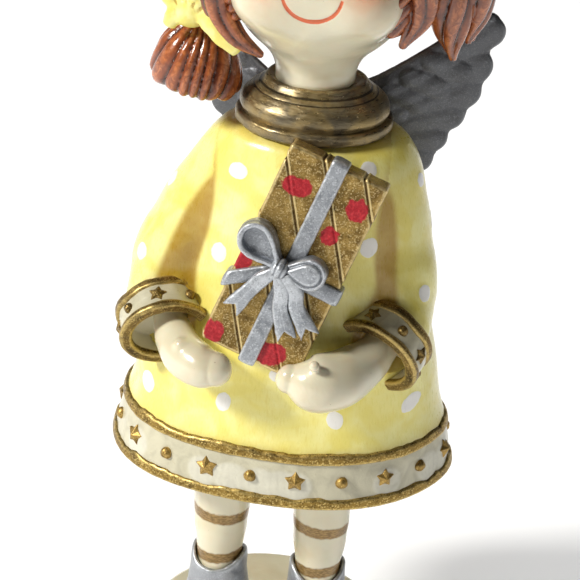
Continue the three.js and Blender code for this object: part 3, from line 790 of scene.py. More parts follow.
def oval(p):
    """Distance from the leaning axis as if the dress were round, its angle, and its steepness."""
    x = p[:, 0] - lean(p[:, 2])
    ratio = depth_ratio(p[:, 2])
    y = p[:, 1] / ratio
    reach = np.maximum(np.hypot(x, y), 1e-6)
    steep = np.maximum(np.hypot(x, y / ratio) / reach, 0.6)
    return reach, np.arctan2(y, x), steep


def bell(p):
    """Distance to the outside of the dress, at any height."""
    reach, angle, steep = oval(p)
    return (reach - dress_width(p[:, 2]) - ripple(angle, p[:, 2])) / steep


UPPER_ARMS = {side: Strand(arm["sleeve"][:4], SLEEVE_SIZES[:4]) for side, arm in ARMS.items()}
FOREARMS = {side: Strand(arm["sleeve"][4:], SLEEVE_SIZES[4:]) for side, arm in ARMS.items()}
CUFF_AXES = {side: unit(arm["facing"]) for side, arm in ARMS.items()}


def cuff_place(p, side):
    """Distance back from the cuff's mouth, distance from its axis, and angle round it from the top."""
    offset = p - np.array(ARMS[side]["opening"], float)
    axis = CUFF_AXES[side]
    back = -offset @ axis
    level = unit(np.cross(axis, (0, 0, 1)))
    top = np.cross(level, axis)
    return back, np.hypot(offset @ level, offset @ top), np.arctan2(offset @ level, offset @ top)


def sleeve_body(p, side):
    arm = joined(UPPER_ARMS[side].field(p), FOREARMS[side].field(p), 6)
    back, _, _ = cuff_place(p, side)
    gathered = 1.2 * smooth01((CUFF_LENGTH + 4 - back) / 4)
    return arm + gathered + 0.25 * uneven(p, 22, 1.1)


def dressed_figure(p):
    """The dress and both sleeves as one soft-creased surface."""
    z = p[:, 2]
    soft = 2.2 + 7 * smooth01((z - 116) / 26)
    folds = 0.3 * uneven(p, 26, 0.2)
    arms = np.minimum(sleeve_body(p, "left"), sleeve_body(p, "right"))
    body = joined(bell(p) + folds, arms, soft)
    return common(body, z - DRESS_TOP, 2.5)


# Painted dots as (x, height) on the front and back, and on the outside of each sleeve, with a turn.
FRONT_DOTS = [
    (-11.3, 135.6, 20), (-14.3, 116.5, 70), (-10.3, 83, 80), (15, 81.9, 120), (16.7, 138.6, 100),
    (18.5, 121.7, 90), (30.8, 83.3, 60), (-29.5, 80, 80), (2, 92, 20),
]
BACK_DOTS = [
    (-24, 82, 40), (-8, 88, 100), (10, 81, 70), (26, 88, 20), (-17, 103, 80), (1, 105, 30),
    (18, 104, 110), (-9, 122, 60), (11, 121, 90), (2, 136, 20),
]
SLEEVE_DOTS = {
    "left": [(-28.1, -3.4, 127.4), (-32.2, -10.1, 111.5), (-32, 6, 112), (-24.5, 8.4, 127),
             (-27, 10, 103)],
    "right": [(26.4, -2.5, 133.6), (31.1, -9.9, 110), (32.2, -13.6, 99.6), (29.6, 2, 122.6),
              (30, 8, 111), (22, 9.6, 129)],
}
DOT_SIZE = (1.75, 2.3)


def dot_distance(across, up, turn_degrees):
    turn = math.radians(turn_degrees)
    long = across * math.cos(turn) + up * math.sin(turn)
    short = up * math.cos(turn) - across * math.sin(turn)
    return (np.hypot(long / DOT_SIZE[1], short / DOT_SIZE[0]) - 1) * DOT_SIZE[0]


def body_dots(p):
    nearest = np.full(len(p), 9.0)
    for faces, spots in ((-1, FRONT_DOTS), (1, BACK_DOTS)):
        for x, z, turn in spots:
            distance = dot_distance(p[:, 0] - x, p[:, 2] - z, turn)
            distance = np.where(p[:, 1] * faces > 0, distance, 9)
            nearest = np.minimum(nearest, distance)
    return nearest


def sleeve_dots(p, side):
    nearest = np.full(len(p), 9.0)
    for spot in SLEEVE_DOTS[side]:
        nearest = np.minimum(nearest, np.linalg.norm(p - np.array(spot), axis=1) - DOT_SIZE[0] * 1.15)
    return nearest


def raised(distance):
    """Thick paint stands a little proud of the surface."""
    return 0.13 * smooth01(0.5 - distance / 0.5)


SEAM_LAP = 1.2
SEAM_DIP = 0.25


def beyond_seam(p, side):
    """How far a point lies past the crease, towards the dress (negative towards the sleeve)."""
    return (sleeve_body(p, side) - bell(p)) / 2


def tucked(body, past):
    """Lets a piece run a little past the crease, dipping under its neighbour."""
    return np.maximum(body + SEAM_DIP * np.maximum(past, 0), past - SEAM_LAP)


def dress_field(p):
    past = np.maximum(-beyond_seam(p, "left"), -beyond_seam(p, "right"))
    body = tucked(dressed_figure(p) - raised(body_dots(p)), past)
    z = p[:, 2]
    recess = bell(p) + 1.5
    body = np.where(z < HEM_TOP - 0.5, np.maximum(body, recess), body)
    hollow = np.maximum(bell(p) + 5, z - HEM_Z - 5)
    body = without(np.maximum(body, HEM_Z + 0.7 - z), hollow, 1.5)
    for sign in (-1, 1):
        reach = np.hypot(p[:, 0] - sign * LEG_SPREAD, p[:, 1] - LEG_FORWARD)
        root = np.maximum(reach - 9, z - HEM_Z - 7)
        body = joined(body, np.maximum(root, HEM_Z + 2.5 - z), 1.5)
    return body


def towards_body(p, side):
    """How far a point lies from its arm's centre line, towards the dress."""
    path = spline(ARMS[side]["sleeve"], 60)
    middle = np.interp(-p[:, 2], -path[:, 2], path[:, 0])
    return (p[:, 0] - middle) * (1 if side == "left" else -1)


def crease_shade(p, side):
    """How much ochre painted shade lies near the crease: a broad band on the sleeve, a line on the dress.
    """
    past = beyond_seam(p, side)
    on_sleeve = smooth01((6.5 + past) / 1.5) * smooth01((towards_body(p, side) + 5.5) / 2)
    deeper = 0.3 * np.exp(-(past / 1.6) ** 2)
    on_dress = np.exp(-(past / 0.35) ** 2)
    fade = smooth01((p[:, 2] - 90) / 6) * (1 - 0.8 * smooth01((p[:, 2] - 130) / 12))
    return np.where(past < 0, np.minimum(on_sleeve + deeper, 1), on_dress) * fade


def dress_paint(p):
    painted_shade = np.maximum(crease_shade(p, "left"), crease_shade(p, "right"))
    # painted shade under the collar and above the hem band, joined with the crease shade
    collar_shade = 0.5 * np.exp(-((DRESS_TOP - p[:, 2]) / 1.6) ** 2)
    hem_shade = 0.25 * np.exp(-((p[:, 2] - HEM_TOP) / 1.2) ** 2)
    painted_shade = np.maximum(painted_shade, np.maximum(collar_shade, hem_shade))
    under = smooth01((HEM_Z + 8 - p[:, 2]) / 1.0) * (bell(p) < -2)
    return {"painted_shade": painted_shade, "dots": body_dots(p), "underside": under}


def make_dress():
    sculpt("dress_cast", dress_field, ["dress"], (3, 1), 0.55, "dress", paint=dress_paint)


def make_sleeve(side):
    def field(p):
        back, reach, _ = cuff_place(p, side)
        body = tucked(dressed_figure(p) - raised(sleeve_dots(p, side)), beyond_seam(p, side))
        away = p[:, 0] if side == "left" else -p[:, 0]
        body = np.maximum(body, away)
        in_cuff = np.maximum(back - CUFF_LENGTH + 0.7, reach - CUFF_RADIUS - 0.4)
        return without(body, in_cuff, 0.3)

    def paint(p):
        back, _, _ = cuff_place(p, side)
        # painted shade on the sleeve just behind the cuff, joined with the crease shade
        cuff_shade = 0.45 * np.exp(-((back - CUFF_LENGTH) / 1.1) ** 2)
        painted_shade = np.maximum(crease_shade(p, side), cuff_shade)
        return {"painted_shade": painted_shade, "dots": sleeve_dots(p, side), "underside": np.zeros(len(p))}

    sculpt(side + "_sleeve_cast", field, [side + "_sleeve"], 4, 0.55, "dress", paint=paint)


def hem_slab(p, bottom, top, proud, thickness, rounding):
    """A rounded strip lying in the dress surface between two heights."""
    out = bell(p)
    section = np.stack([out - (proud - thickness) / 2, p[:, 2] - (bottom + top) / 2], 1)
    half = ((proud + thickness) / 2, (top - bottom) / 2)
    q = np.abs(section) - (np.stack([np.broadcast_to(h, len(p)) for h in half], 1) - rounding)
    return np.linalg.norm(np.maximum(q, 0), axis=1) + np.minimum(q.max(1), 0) - rounding


def hem_place(angle, z):
    """A point on the hem's surface, the way out of it, and the way along it."""
    width = dress_width(z) + ripple(angle, z)
    point = np.array([width * math.cos(angle) + lean(z), width * SKIRT_DEPTH * math.sin(angle), z])
    out = unit((math.cos(angle), math.sin(angle) / SKIRT_DEPTH, 0.15))
    return point, out, unit(np.cross((0, 0, 1), out))


def even_angles(count, first):
    """Angles that space the studs evenly by length round the oval hem."""
    steps = np.linspace(first, first + math.tau, 1441)
    middle = (steps[1:] + steps[:-1]) / 2
    length = np.concatenate([[0], np.cumsum(np.hypot(np.sin(middle), SKIRT_DEPTH * np.cos(middle)))])
    return np.interp(np.arange(count) * length[-1] / count, length, steps)


STUD_Z = (HEM_Z + HEM_TOP) / 2
STUD_ANGLES = even_angles(STUD_COUNT, FIRST_STAR)
STUD_PLACES = [hem_place(angle, STUD_Z) for angle in STUD_ANGLES]


def star_mesh(centre, out, along, radius, turn, height):
    """A five-pointed pyramid standing on a surface: its points and faces."""
    up = np.cross(out, along)
    rim = []
    for i in range(10):
        reach = radius * (0.6 if i % 2 else 1)
        angle = turn + i * math.pi / 5
        rim.append(reach * (math.sin(angle) * along + math.cos(angle) * up))
    rim = np.array(rim)
    top = centre + rim + out * 0.35
    foot = centre + rim * 1.06 - out * 0.8
    points = np.concatenate([top, foot, [centre + out * height], [centre - out * 0.8]])
    faces = []
    for i in range(10):
        nxt = (i + 1) % 10
        faces += [(i, 20, nxt), (i, nxt, 10 + nxt), (i, 10 + nxt, 10 + i), (10 + i, 10 + nxt, 21)]
    return points, faces


def bead_mesh(centre, out, along, radius):
    """A slightly flattened drop of resin, sunk into the surface."""
    up = np.cross(out, along)
    rings, sides = 9, 16
    points = [centre + out * radius * 0.95]
    for i in range(1, rings):
        slope = math.pi * i / rings
        for j in range(sides):
            angle = math.tau * j / sides
            wobble = radius * (1 + 0.05 * math.sin(3 * angle + i))
            ring = math.sin(slope) * (math.cos(angle) * along + math.sin(angle) * up)
            points.append(centre + wobble * (ring + 0.95 * math.cos(slope) * out))
    points.append(centre - out * radius * 0.95)
    faces = []
    for j in range(sides):
        nxt = (j + 1) % sides
        faces.append((0, 1 + nxt, 1 + j))
        for i in range(rings - 2):
            row = 1 + i * sides
            faces.append((row + j, row + nxt, row + sides + nxt, row + sides + j))
        last = 1 + (rings - 2) * sides
        faces.append((last + j, last + nxt, len(points) - 1))
    return points, faces


def stud_object(name, shapes, finish, node, smooth, bevel=0.0):
    """Every stud of one kind on a band, joined into one piece."""
    points, faces = [], []
    for shape_points, shape_faces in shapes:
        start = len(points)
        points += list(shape_points)
        faces += [tuple(start + i for i in face) for face in shape_faces]
    piece = mesh_object(name, points, faces, FINISHES[finish], smooth)
    piece.data.validate()
    add_layer(piece, "hollow", np.full(len(points), STUD_RIDGE))
    if bevel:
        modifier = piece.modifiers.new("soft_edges", "BEVEL")
        modifier.width = bevel * MM
        modifier.segments = 2
        modifier.limit_method = "ANGLE"
    fix_normals(piece.data)
    seat(piece, [node])


def fix_normals(mesh):
    editable = bmesh.new()
    editable.from_mesh(mesh)
    bmesh.ops.recalc_face_normals(editable, faces=editable.faces)
    editable.to_mesh(mesh)
    editable.free()


def make_hem():
    lower_top = HEM_Z + TRIM_HEIGHT
    upper_foot = HEM_TOP - TRIM_HEIGHT

    def wavy(p, seed, size):
        _, angle, _ = oval(p)
        place = np.stack([angle * 30, angle * 13 + seed, np.zeros(len(p))], 1)
        return size * (uneven(place, 9, seed) + 0.6 * uneven(place, 3.6, seed + 2))

    def band(p):
        strip = hem_slab(p, lower_top - 0.8, upper_foot + 0.8, 0.1, BAND_THICKNESS, 0.4)
        smear = 0.16 * smear_amount(p) * (0.6 + 0.4 * uneven(p, 1.6, 0.7))
        return strip - smear + 0.14 * uneven(p, 7, 2.2)

    def smear_amount(p):
        """Thick white paint left round each star, heaviest below and to one side."""
        amount = np.zeros(len(p))
        for (centre, _, along), angle in list(zip(STUD_PLACES, STUD_ANGLES))[::2]:
            offset = p - centre
            across, up = offset @ along, offset[:, 2]
            lopsided = 1.1 * math.sin(7 * angle)
            reach = np.hypot((across - lopsided) / 4.4, (up + 1.2) / 4.2)
            amount = np.maximum(amount, smooth01((1 - reach) / 0.35))
        return amount

    def band_paint(p):
        return {"smear": smear_amount(p), "lining": np.zeros(len(p))}

    def lower(p):
        top = lower_top + 0.5 + wavy(p, 1.0, 0.45)
        return hem_slab(p, HEM_Z, top, 0.75, BAND_THICKNESS, 0.75) + 0.035 * uneven(p, 2.4, 3)

    def upper(p):
        foot = upper_foot - 0.3 + wavy(p, 4.0, 0.12)
        top = HEM_TOP + wavy(p, 6.0, 0.4)
        return hem_slab(p, foot, top, 0.7, BAND_THICKNESS, 0.75) + 0.03 * uneven(p, 2.4, 5)

    margin = np.array([1, 1, 2])
    sculpt("hem_band_cast", band, ["hem_band"], margin, 0.4, "band", paint=band_paint)
    for name, field in (("lower", lower), ("upper", upper)):
        sculpt(f"hem_trim_{name}_cast", field, ["hem_trim_" + name], margin, 0.4, "trim", crease=0.5)

    stars = [
        star_mesh(
            centre, out, along, STAR_RADIUS * (1 + 0.08 * math.sin(5 * i)), 0.2 * math.sin(9 * i), 1.7
        )
        for i, (centre, out, along) in enumerate(STUD_PLACES[::2])
    ]
    beads = [bead_mesh(centre, out, along, BEAD_RADIUS) for centre, out, along in STUD_PLACES[1::2]]
    stud_object("hem_stars", stars, "stud", "hem_band", False, 0.14)
    stud_object("hem_beads", beads, "stud", "hem_band", True)


# ---- cuffs and hands -------------------------------------------------------------------------

CUFF_STUDS = 8
CUFF_FIRST = {"left": 0.25, "right": 0.1}


def ring_section(back, reach, first, last, outer, inner, rounding):
    section = np.stack([back - (first + last) / 2, reach - (outer + inner) / 2], 1)
    half = ((last - first) / 2, (outer - inner) / 2)
    return rounded_box(section, half, rounding)


def cuff_stud_places(side):
    axis = CUFF_AXES[side]
    level = unit(np.cross(axis, (0, 0, 1)))
    top = np.cross(level, axis)
    centre = np.array(ARMS[side]["opening"]) - axis * CUFF_LENGTH * 0.5
    for i in range(CUFF_STUDS):
        angle = CUFF_FIRST[side] + math.tau * i / CUFF_STUDS
        out = math.cos(angle) * top + math.sin(angle) * level
        yield i, centre + out * CUFF_RADIUS, out, axis


def make_cuff(side):
    def clear_of_dress(p, field):
        return np.maximum(field, -bell(p) - 2)

    def band(p):
        back, reach, angle = cuff_place(p, side)
        outer = CUFF_RADIUS + 0.2 + 0.15 * np.sin(3 * angle + 1)
        body = np.maximum(reach - outer, np.abs(back - CUFF_LENGTH / 2) - CUFF_LENGTH / 2 + 0.7)
        well = np.maximum(reach - CUFF_BORE, back - CUFF_DEPTH)
        return clear_of_dress(p, without(body, well, 0.6) + 0.12 * uneven(p, 5, 1.5))

    def band_paint(p):
        _, reach, _ = cuff_place(p, side)
        return {"smear": np.zeros(len(p)), "lining": smooth01((CUFF_BORE + 1 - reach) / 0.5)}

    def wavy(p, seed, size):
        _, _, angle = cuff_place(p, side)
        return size * (np.sin(3 * angle + seed) + 0.7 * np.sin(7 * angle + 2 * seed))

    def mouth(p):
        back, reach, _ = cuff_place(p, side)
        edge = 1.9 + wavy(p, 0.7, 0.16)
        ring = ring_section(back * 2.2 / edge, reach, 0, 2.2, CUFF_RADIUS + 0.95, CUFF_BORE - 0.25, 0.8)
        return clear_of_dress(p, ring + 0.05 * uneven(p, 2.6, 2))

    def upper(p):
        back, reach, _ = cuff_place(p, side)
        first = CUFF_LENGTH - 2.3 + wavy(p, 2.2, 0.2)
        ring = ring_section(back - first, reach, 0, 2.5, CUFF_RADIUS + 0.75, CUFF_BORE, 0.8)
        return clear_of_dress(p, ring + 0.05 * uneven(p, 2.6, 4))

    sculpt(side + "_cuff_mouth", mouth, [side + "_cuff_trim_lower"], 1, 0.3, "cuff", crease=0.5)
    sculpt(side + "_cuff_edge", upper, [side + "_cuff_trim_upper"], 1.5, 0.3, "cuff", crease=0.5)
    sculpt(side + "_cuff_band", band, [side + "_cuff"], 2, 0.35, "band", paint=band_paint)

    stars, beads = [], []
    for i, centre, out, axis in cuff_stud_places(side):
        if bell(centre[None])[0] < 0.5:
            continue
        if i % 2:
            beads.append(bead_mesh(centre, out, axis, 1.25))
        else:
            stars.append(star_mesh(centre, out, axis, 2.1, 0.3 * i, 1.3))
    stud_object(side + "_cuff_stars", stars, "cuff", side + "_cuff", False, 0.12)
    stud_object(side + "_cuff_beads", beads, "cuff", side + "_cuff", True)


def make_hand(side):
    arm = ARMS[side]
    palm = Strand(arm["hand"], arm["sizes"])

    def field(p):
        thumb = np.linalg.norm(p - np.array(arm["bump"]), axis=1) - 1.2
        hand = joined(palm.field(p), thumb, 1.5)
        hand = hand + 0.15 * uneven(p, 9, 1.9)
        hand = np.maximum(hand, -gift_box_field(p) - 0.15)
        return np.maximum(hand, -bell(p) - 0.5)

    sculpt(side + "_hand_cast", field, [side + "_hand"], 2, 0.4, "skin")


# ---- the present -----------------------------------------------------------------------------

def gift_turn():
    about_x = Matrix.Rotation(GIFT_LEAN, 3, "X")
    about_y = Matrix.Rotation(GIFT_TILT, 3, "Y")
    return np.array(about_x @ about_y)


GIFT_TURN = gift_turn()
GROOVE_TILT = math.radians(33)
GROOVE_SPACING = 8
GROOVE_FIRST = 1.8
GROOVE_HALF = 0.3
CROSSWISE_Z = -2.4
CROSSWISE_SLOPE = 0.7  # of the crosswise ribbon to the left of the knot
KNOT = np.array([-2, -1.4])  # x and z in the present's own frame
BOW_FOOT = -(GIFT_HALF[1] + RIBBON_THICKNESS) + 0.3
DABS = [  # x, z, half-width, half-height and turn of each dab of red
    (-6.3, 15.9, 3.3, 2.3, 10), (7.3, 16.9, 2.4, 2.7, 30), (4.4, 9.2, 2.0, 2.2, -10),
    (-10.2, -4.2, 2.3, 2.2, 10), (-9.2, -21.2, 2.2, 2.8, 20), (4, -20.2, 3.5, 2.9, 20),
]


def in_gift(p):
    """Points in the present's own frame: x across, -y out of its front, z along it."""
    return (p - GIFT_CENTRE) @ GIFT_TURN


def groove_offset(q):
    line = q[:, 0] * math.cos(GROOVE_TILT) + q[:, 2] * math.sin(GROOVE_TILT) - GROOVE_FIRST
    return (line + GROOVE_SPACING / 2) % GROOVE_SPACING - GROOVE_SPACING / 2


def gift_box_field(p):
    q = in_gift(p)
    box = rounded_box(q, GIFT_HALF, 0.7)
    groove = 0.35 * clamp01(1 - np.abs(groove_offset(q)) / GROOVE_HALF)
    lip = 0.14 * np.exp(-((groove_offset(q) - GROOVE_HALF - 0.25) / 0.22) ** 2)
    return box + groove - lip + 0.04 * uneven(q, 2.3, 0.5) + 0.1 * uneven(q, 9, 1.4)


def gift_paint(p):
    q = in_gift(p)
    nearest = np.full(len(p), 9.0)
    for x, z, wide, high, turn_degrees in DABS:
        turn = math.radians(turn_degrees)
        across, up = q[:, 0] - x, q[:, 2] - z
        level = across * math.cos(turn) + up * math.sin(turn)
        upright = up * math.cos(turn) - across * math.sin(turn)
        notch = 0.25 * np.exp(-((level / wide) / 0.3) ** 2) * (upright > 0)
        dab = (np.hypot(level / wide, upright / high) + notch - 1) * min(wide, high)
        nearest = np.minimum(nearest, dab)
    return {
        "hearts": np.where(q[:, 1] < -GIFT_HALF[1] + 1.2, nearest, 9),
        "groove": clamp01(1.4 - np.abs(groove_offset(q)) / GROOVE_HALF),
    }


def ribbon_field(p, axis):
    """A ribbon over the front of the box and round both its edges; axis is the one it crosses."""
    q = in_gift(p)
    outer = rounded_box(q, GIFT_HALF + RIBBON_THICKNESS, 1.2)
    inner = rounded_box(q, GIFT_HALF - 0.5, 0.5)
    across = q[:, axis]
    if axis == 2:
        across = across - CROSSWISE_Z - CROSSWISE_SLOPE * np.minimum(q[:, 0] - KNOT[0], 0)
    crown = 0.25 * (across / RIBBON_HALF) ** 2
    strip = common(np.maximum(outer + crown, -inner), np.abs(across) - RIBBON_HALF, 0.45)
    return np.maximum(strip, q[:, 1] - GIFT_HALF[1] * 0.2) + 0.05 * uneven(q, 3, axis)


def bow_height(q):
    return BOW_FOOT - q[:, 1]


def teardrop(q, angle_degrees, length, start, end):
    """Distance, seen from the front, to a drop that widens away from the knot; and the way along."""
    angle = math.radians(angle_degrees)
    way = np.array([math.cos(angle), math.sin(angle)])
    flat = q[:, [0, 2]] - KNOT
    share = clamp01(flat @ way / length)
    reach = np.linalg.norm(flat - share[:, None] * length * way, axis=1)
    return reach - (start + (end - start) * smooth01(share)), share


def open_loop(p):
    q = in_gift(p)
    drop, share = teardrop(q, 153, 8.2, 1.2, 3.9)
    height = bow_height(q)
    top = 2.5 + 1.6 * smooth01(share * 1.3)
    wall = common(np.abs(drop + 0.6) - 0.6, height - top, 0.5)
    floor = common(drop, height - 1.3 - 0.5 * share, 0.5)
    loop = joined(wall, floor, 0.9)
    return common(loop, -0.5 - height, 0.3) + 0.07 * uneven(q, 2.5, 0.8)


def folded_loop(p):
    q = in_gift(p)
    drop, share = teardrop(q, 17, 6.6, 1.2, 3.6)
    height = bow_height(q)
    dome = height - 3.4 - 0.5 * share + 0.18 * (drop + 1.8) ** 2 * (drop > -1.8)
    fold = 0.55 * np.exp(-((drop + 1.0) / 0.35) ** 2) * smooth01((height - 2) / 1)
    loop = common(drop, dome, 0.7) + fold
    return common(loop, -0.5 - height, 0.3) + 0.07 * uneven(q, 2.5, 1.8)


def knot_field(p):
    q = in_gift(p)
    local = np.stack([q[:, 0] - KNOT[0], q[:, 1] - BOW_FOOT + 2, q[:, 2] - KNOT[1]], 1)
    knot = ellipsoid(local, (0, 0, 0), (2.1, 2.6, 2.5))
    pleat = 0.3 * np.exp(-((np.abs(local[:, 0]) - 0.7) / 0.25) ** 2)
    return knot + pleat + 0.06 * uneven(q, 2, 2.8)


TAILS = {
    "left": [(-2.6, 2.2, -2.2), (-4.6, 1.9, -5.4), (-6, 1.5, -9), (-7.2, 1.2, -12.6)],
    "middle": [(-1.6, 2.6, -2.6), (0.6, 2.2, -6), (1.8, 1.5, -9.6), (4.6, 1.3, -13.4)],
    "right": [(-0.4, 2.6, -2), (3, 2, -4.4), (4.8, 1.6, -7.6), (8.4, 1.3, -10.8)],
}


def tail_field(points):
    """A flat ribbon end with a notch, given by points of (x, height, z) from the box's middle."""
    local = [(x, BOW_FOOT - height, z) for x, height, z in points]
    ribbon = Strand(local, [(1.2, 0.9), (1.7, 0.8), (1.7, 0.75), (2.1, 0.7)], facing=(0, -1, 0))

    def field(p):
        q = in_gift(p)
        t, across, deep, past, size = ribbon.locate(q)
        half = size[:, 0]
        body = common(np.abs(across) - half, np.abs(deep + 0.12 * across**2 - 0.2) - size[:, 1], 0.5)
        end = past - 1.1 * np.abs(across) * (t > 0.5) - 0.1
        body = np.maximum(body, end)
        return body + 0.06 * uneven(q, 2.2, 3.3)

    return field


def make_gift():
    sculpt("gift_box_cast", gift_box_field, ["gift_box"], 1.5, 0.3, "gift",
           paint=gift_paint, crease=0.35)
    for name, axis, nodes in (
        ("lengthwise", 0, ["ribbon_lengthwise"]),
        ("crosswise", 2, ["ribbon_crosswise_left", "ribbon_crosswise_right"]),
    ):
        sculpt(f"ribbon_{name}_cast", lambda p: ribbon_field(p, axis), nodes,
               ((2.5, 2.5, 6.5), 1.5), 0.3, "ribbon", crease=0.5)
    for name, field in (
        ("bow_loop_left", open_loop),
        ("bow_loop_right", folded_loop),
        ("bow_knot", knot_field),
    ):
        sculpt(name + "_cast", field, [name], 4, 0.22, "ribbon", crease=0.4)
    for side, points in TAILS.items():
        name = "bow_tail_" + side
        sculpt(name + "_cast", tail_field(points), [name], 5, 0.24, "ribbon", crease=0.4)


# ---- collar, head and hair -------------------------------------------------------------------

def make_collar():
    flange_foot = node_box("collar_flange")[0][2] - 0.4
    roll_foot = node_box("collar_roll")[0][2]
    profile = spline([
        (roll_foot - 2, 15.7), (roll_foot, 16), (roll_foot + 1.5, 16.5), (roll_foot + 3.3, 15.9),
        (roll_foot + 5.1, 14), (roll_foot + 6.5, 12), (roll_foot + 7.4, 11), (roll_foot + 9, 10),
    ], 80)

    def flange(p):
        reach, _, _ = oval(p)
        section = np.stack([reach, p[:, 2] - flange_foot - 1.4], 1)
        disc = rounded_box(section, (17.4, 1.4), 0.9)
        return np.maximum(disc, -gift_box_field(p) - 0.1) * 0.9 + 0.08 * uneven(p, 4, 1.2)

    def roll(p):
        reach, _, _ = oval(p)
        z = p[:, 2]
        body = (reach - np.interp(z, profile[:, 0], profile[:, 1])) * 0.8
        body = common(body, z - roll_foot - 7.6, 0.8)
        lip = np.hypot(reach - 10.4, (z - roll_foot - 7.1) * 1.1) - 0.8
        lines = sum(0.13 * np.exp(-((z - roll_foot - height) / 0.2) ** 2) for height in (5.3, 6.3))
        body = joined(body + lines, lip, 0.7)
        return np.maximum(body, roll_foot - 0.6 - z) + 0.1 * uneven(p, 5, 2.6)

    sculpt("collar_flange_cast", flange, ["collar_flange"], 1, 0.35, "collar", crease=0.6)
    sculpt("collar_roll_cast", roll, ["collar_roll"], (1, 2), 0.4, "collar", crease=0.6)


FACE_X = 0.7  # the face's middle, from the head's
SMILE = {"z": 1.0, "radius": 6.3, "half_angle": 80, "thick": 0.48}
NOSE_Z = 5.4
EYE = {"x": 7.4, "z": 9.4, "width": 1.35, "height": 2.0}
BROW = {"z": 12.6, "radius": 3.6, "thick": 0.32}
BLUSH = {"x": 10.8, "z": 2.6, "radius": 4.6}


def head_field(p):
    q = p - HEAD_CENTRE
    skull = ellipsoid(q, (0, 0, 0), (HEAD_RADIUS, HEAD_RADIUS * 0.98, HEAD_RADIUS))
    for side in (-1, 1):
        cheek = ellipsoid(q, (FACE_X + side * 9.5, -12, -2.5), (8.5, 8, 8))
        skull = joined(skull, cheek, 4)
    neck = np.hypot(q[:, 0], q[:, 1] / 0.94) - 8.8
    neck = np.maximum(neck, np.abs(p[:, 2] - NECK_FOOT - 9) - 9.2)
    nose = np.linalg.norm(q - np.array([FACE_X, -20.3, NOSE_Z]), axis=1) - 1.7
    body = joined(joined(skull, neck, 5), nose, 1.1)
    cut = 0.22 * smooth01(-smile_distance(q) / 0.4)
    return body + cut + 0.08 * uneven(p, 16, 0.9)


def smile_distance(q):
    x, z = q[:, 0] - FACE_X, q[:, 2] - SMILE["z"]
    limit = math.radians(SMILE["half_angle"])
    angle = np.clip(np.arctan2(x, -z), -limit, limit)
    reach = np.hypot(x - SMILE["radius"] * np.sin(angle), z + SMILE["radius"] * np.cos(angle))
    taper = SMILE["thick"] * (1.1 - 0.4 * np.abs(angle) / limit)
    return np.where(q[:, 1] < 0, reach - taper, 9)


def face_layers(p):
    q = p - HEAD_CENTRE
    x, z = np.abs(q[:, 0] - FACE_X), q[:, 2]
    front = q[:, 1] < 0
    eye = (np.hypot((x - EYE["x"]) / EYE["width"], (z - EYE["z"]) / EYE["height"]) - 1) * EYE["width"]
    from_eye = q[:, 0] - FACE_X - np.sign(q[:, 0] - FACE_X) * EYE["x"]
    glint = np.hypot(from_eye + 0.45, z - EYE["z"] - 0.75) - 0.42
    above = np.clip(np.arctan2(x - EYE["x"], z - BROW["z"] + BROW["radius"]), -0.7, 0.7)
    brow = np.hypot(x - EYE["x"] - BROW["radius"] * np.sin(above),
                    z - BROW["z"] + BROW["radius"] - BROW["radius"] * np.cos(above)) - BROW["thick"]
    cheek = np.hypot(x - BLUSH["x"], z - BLUSH["z"]) / BLUSH["radius"]
    return {
        "smile": smile_distance(q),
        "eyes": np.where(front, eye, 9),
        "glints": np.where(front, glint, 9),
        "brows": np.where(front, brow, 9),
        "blush": np.where(front, 0.75 * np.exp(-cheek**2), 0),
    }


HAIR_THICKNESS = 3.8
HAIR_RADIUS = HEAD_RADIUS + HAIR_THICKNESS
NAPE_SLOPE = math.radians(18)
HAIR_CENTRE = HEAD_CENTRE + np.array([0, 1.5, 1.4])
TIES = {"left": np.array([-22.5, -3, 168.5]), "right": np.array([26.6, 0, 186])}
HAIRLINE_Z = 168
LOCKS = 30  # combed locks in a full turn about each tie


def combed(p):
    """Height of locks combed from the parting to the tie on each side: 1 on a crest."""
    q = p - HAIR_CENTRE
    crest = np.zeros(len(p))
    for side, tie in TIES.items():
        axis = unit(tie - HAIR_CENTRE)
        level = unit(np.cross(axis, (0, 0, 1)))
        top = np.cross(level, axis)
        angle = np.arctan2(q @ level, q @ top)
        away = np.arccos(np.clip(unit(q) @ axis, -1, 1))
        swirl = angle + 0.18 * np.sin(2.2 * away)
        own = ridges(swirl, LOCKS) * smooth01(away / 0.35)
        crest = np.where((q[:, 0] < 0) == (side == "left"), own, crest)
    return crest


def hair_cap_field(p):
    q = p - HAIR_CENTRE
    reach = np.linalg.norm(q, axis=1)
    relief = 0.95 * (combed(p) - 1)
    parting = -0.9 * np.exp(-((q[:, 0] + 0.4 * np.sin(q[:, 2] / 4)) / 0.8) ** 2)
    cap = reach - HAIR_RADIUS - relief - parting * (q[:, 2] > -16)
    window = ellipsoid(p, HEAD_CENTRE + np.array([FACE_X - 0.6, -23, -7]), (18.5, 22, 20.5))
    swoop = ellipsoid(p, HEAD_CENTRE + np.array([FACE_X - 0.6, -22, 8]), (6, 12, 8.5))
    cap = without(cap, np.minimum(window, swoop), 1.2)
    nape = HAIRLINE_Z - np.maximum(p[:, 1], 0) * math.tan(NAPE_SLOPE) - p[:, 2]
    nape = nape + 0.9 * combed(p)
    return common(cap, nape * 0.95, 1.2)


def hair_layers(crest):
    """Where painted shade lies between the locks and painted highlight on their crests, from the height
    of the crests.
    """
    return {"hollow": 1 - crest}


class Lock:
    """A strand of hair with grooves along it, turning as they go."""

    def __init__(self, points, sizes, count, depth, swirl):
        self.strand = Strand(points, sizes)
        self.count = count
        self.depth = depth
        self.swirl = swirl

    def crest(self, p):
        t, angle = self.strand.around(p)
        return ridges(angle + self.swirl * t, self.count)

    def field(self, p):
        t, _ = self.strand.around(p)
        fade = smooth01(t * 6) * smooth01((1 - t) * 5 + 0.15)
        return self.strand.field(p) + self.depth * (1 - self.crest(p)) * fade


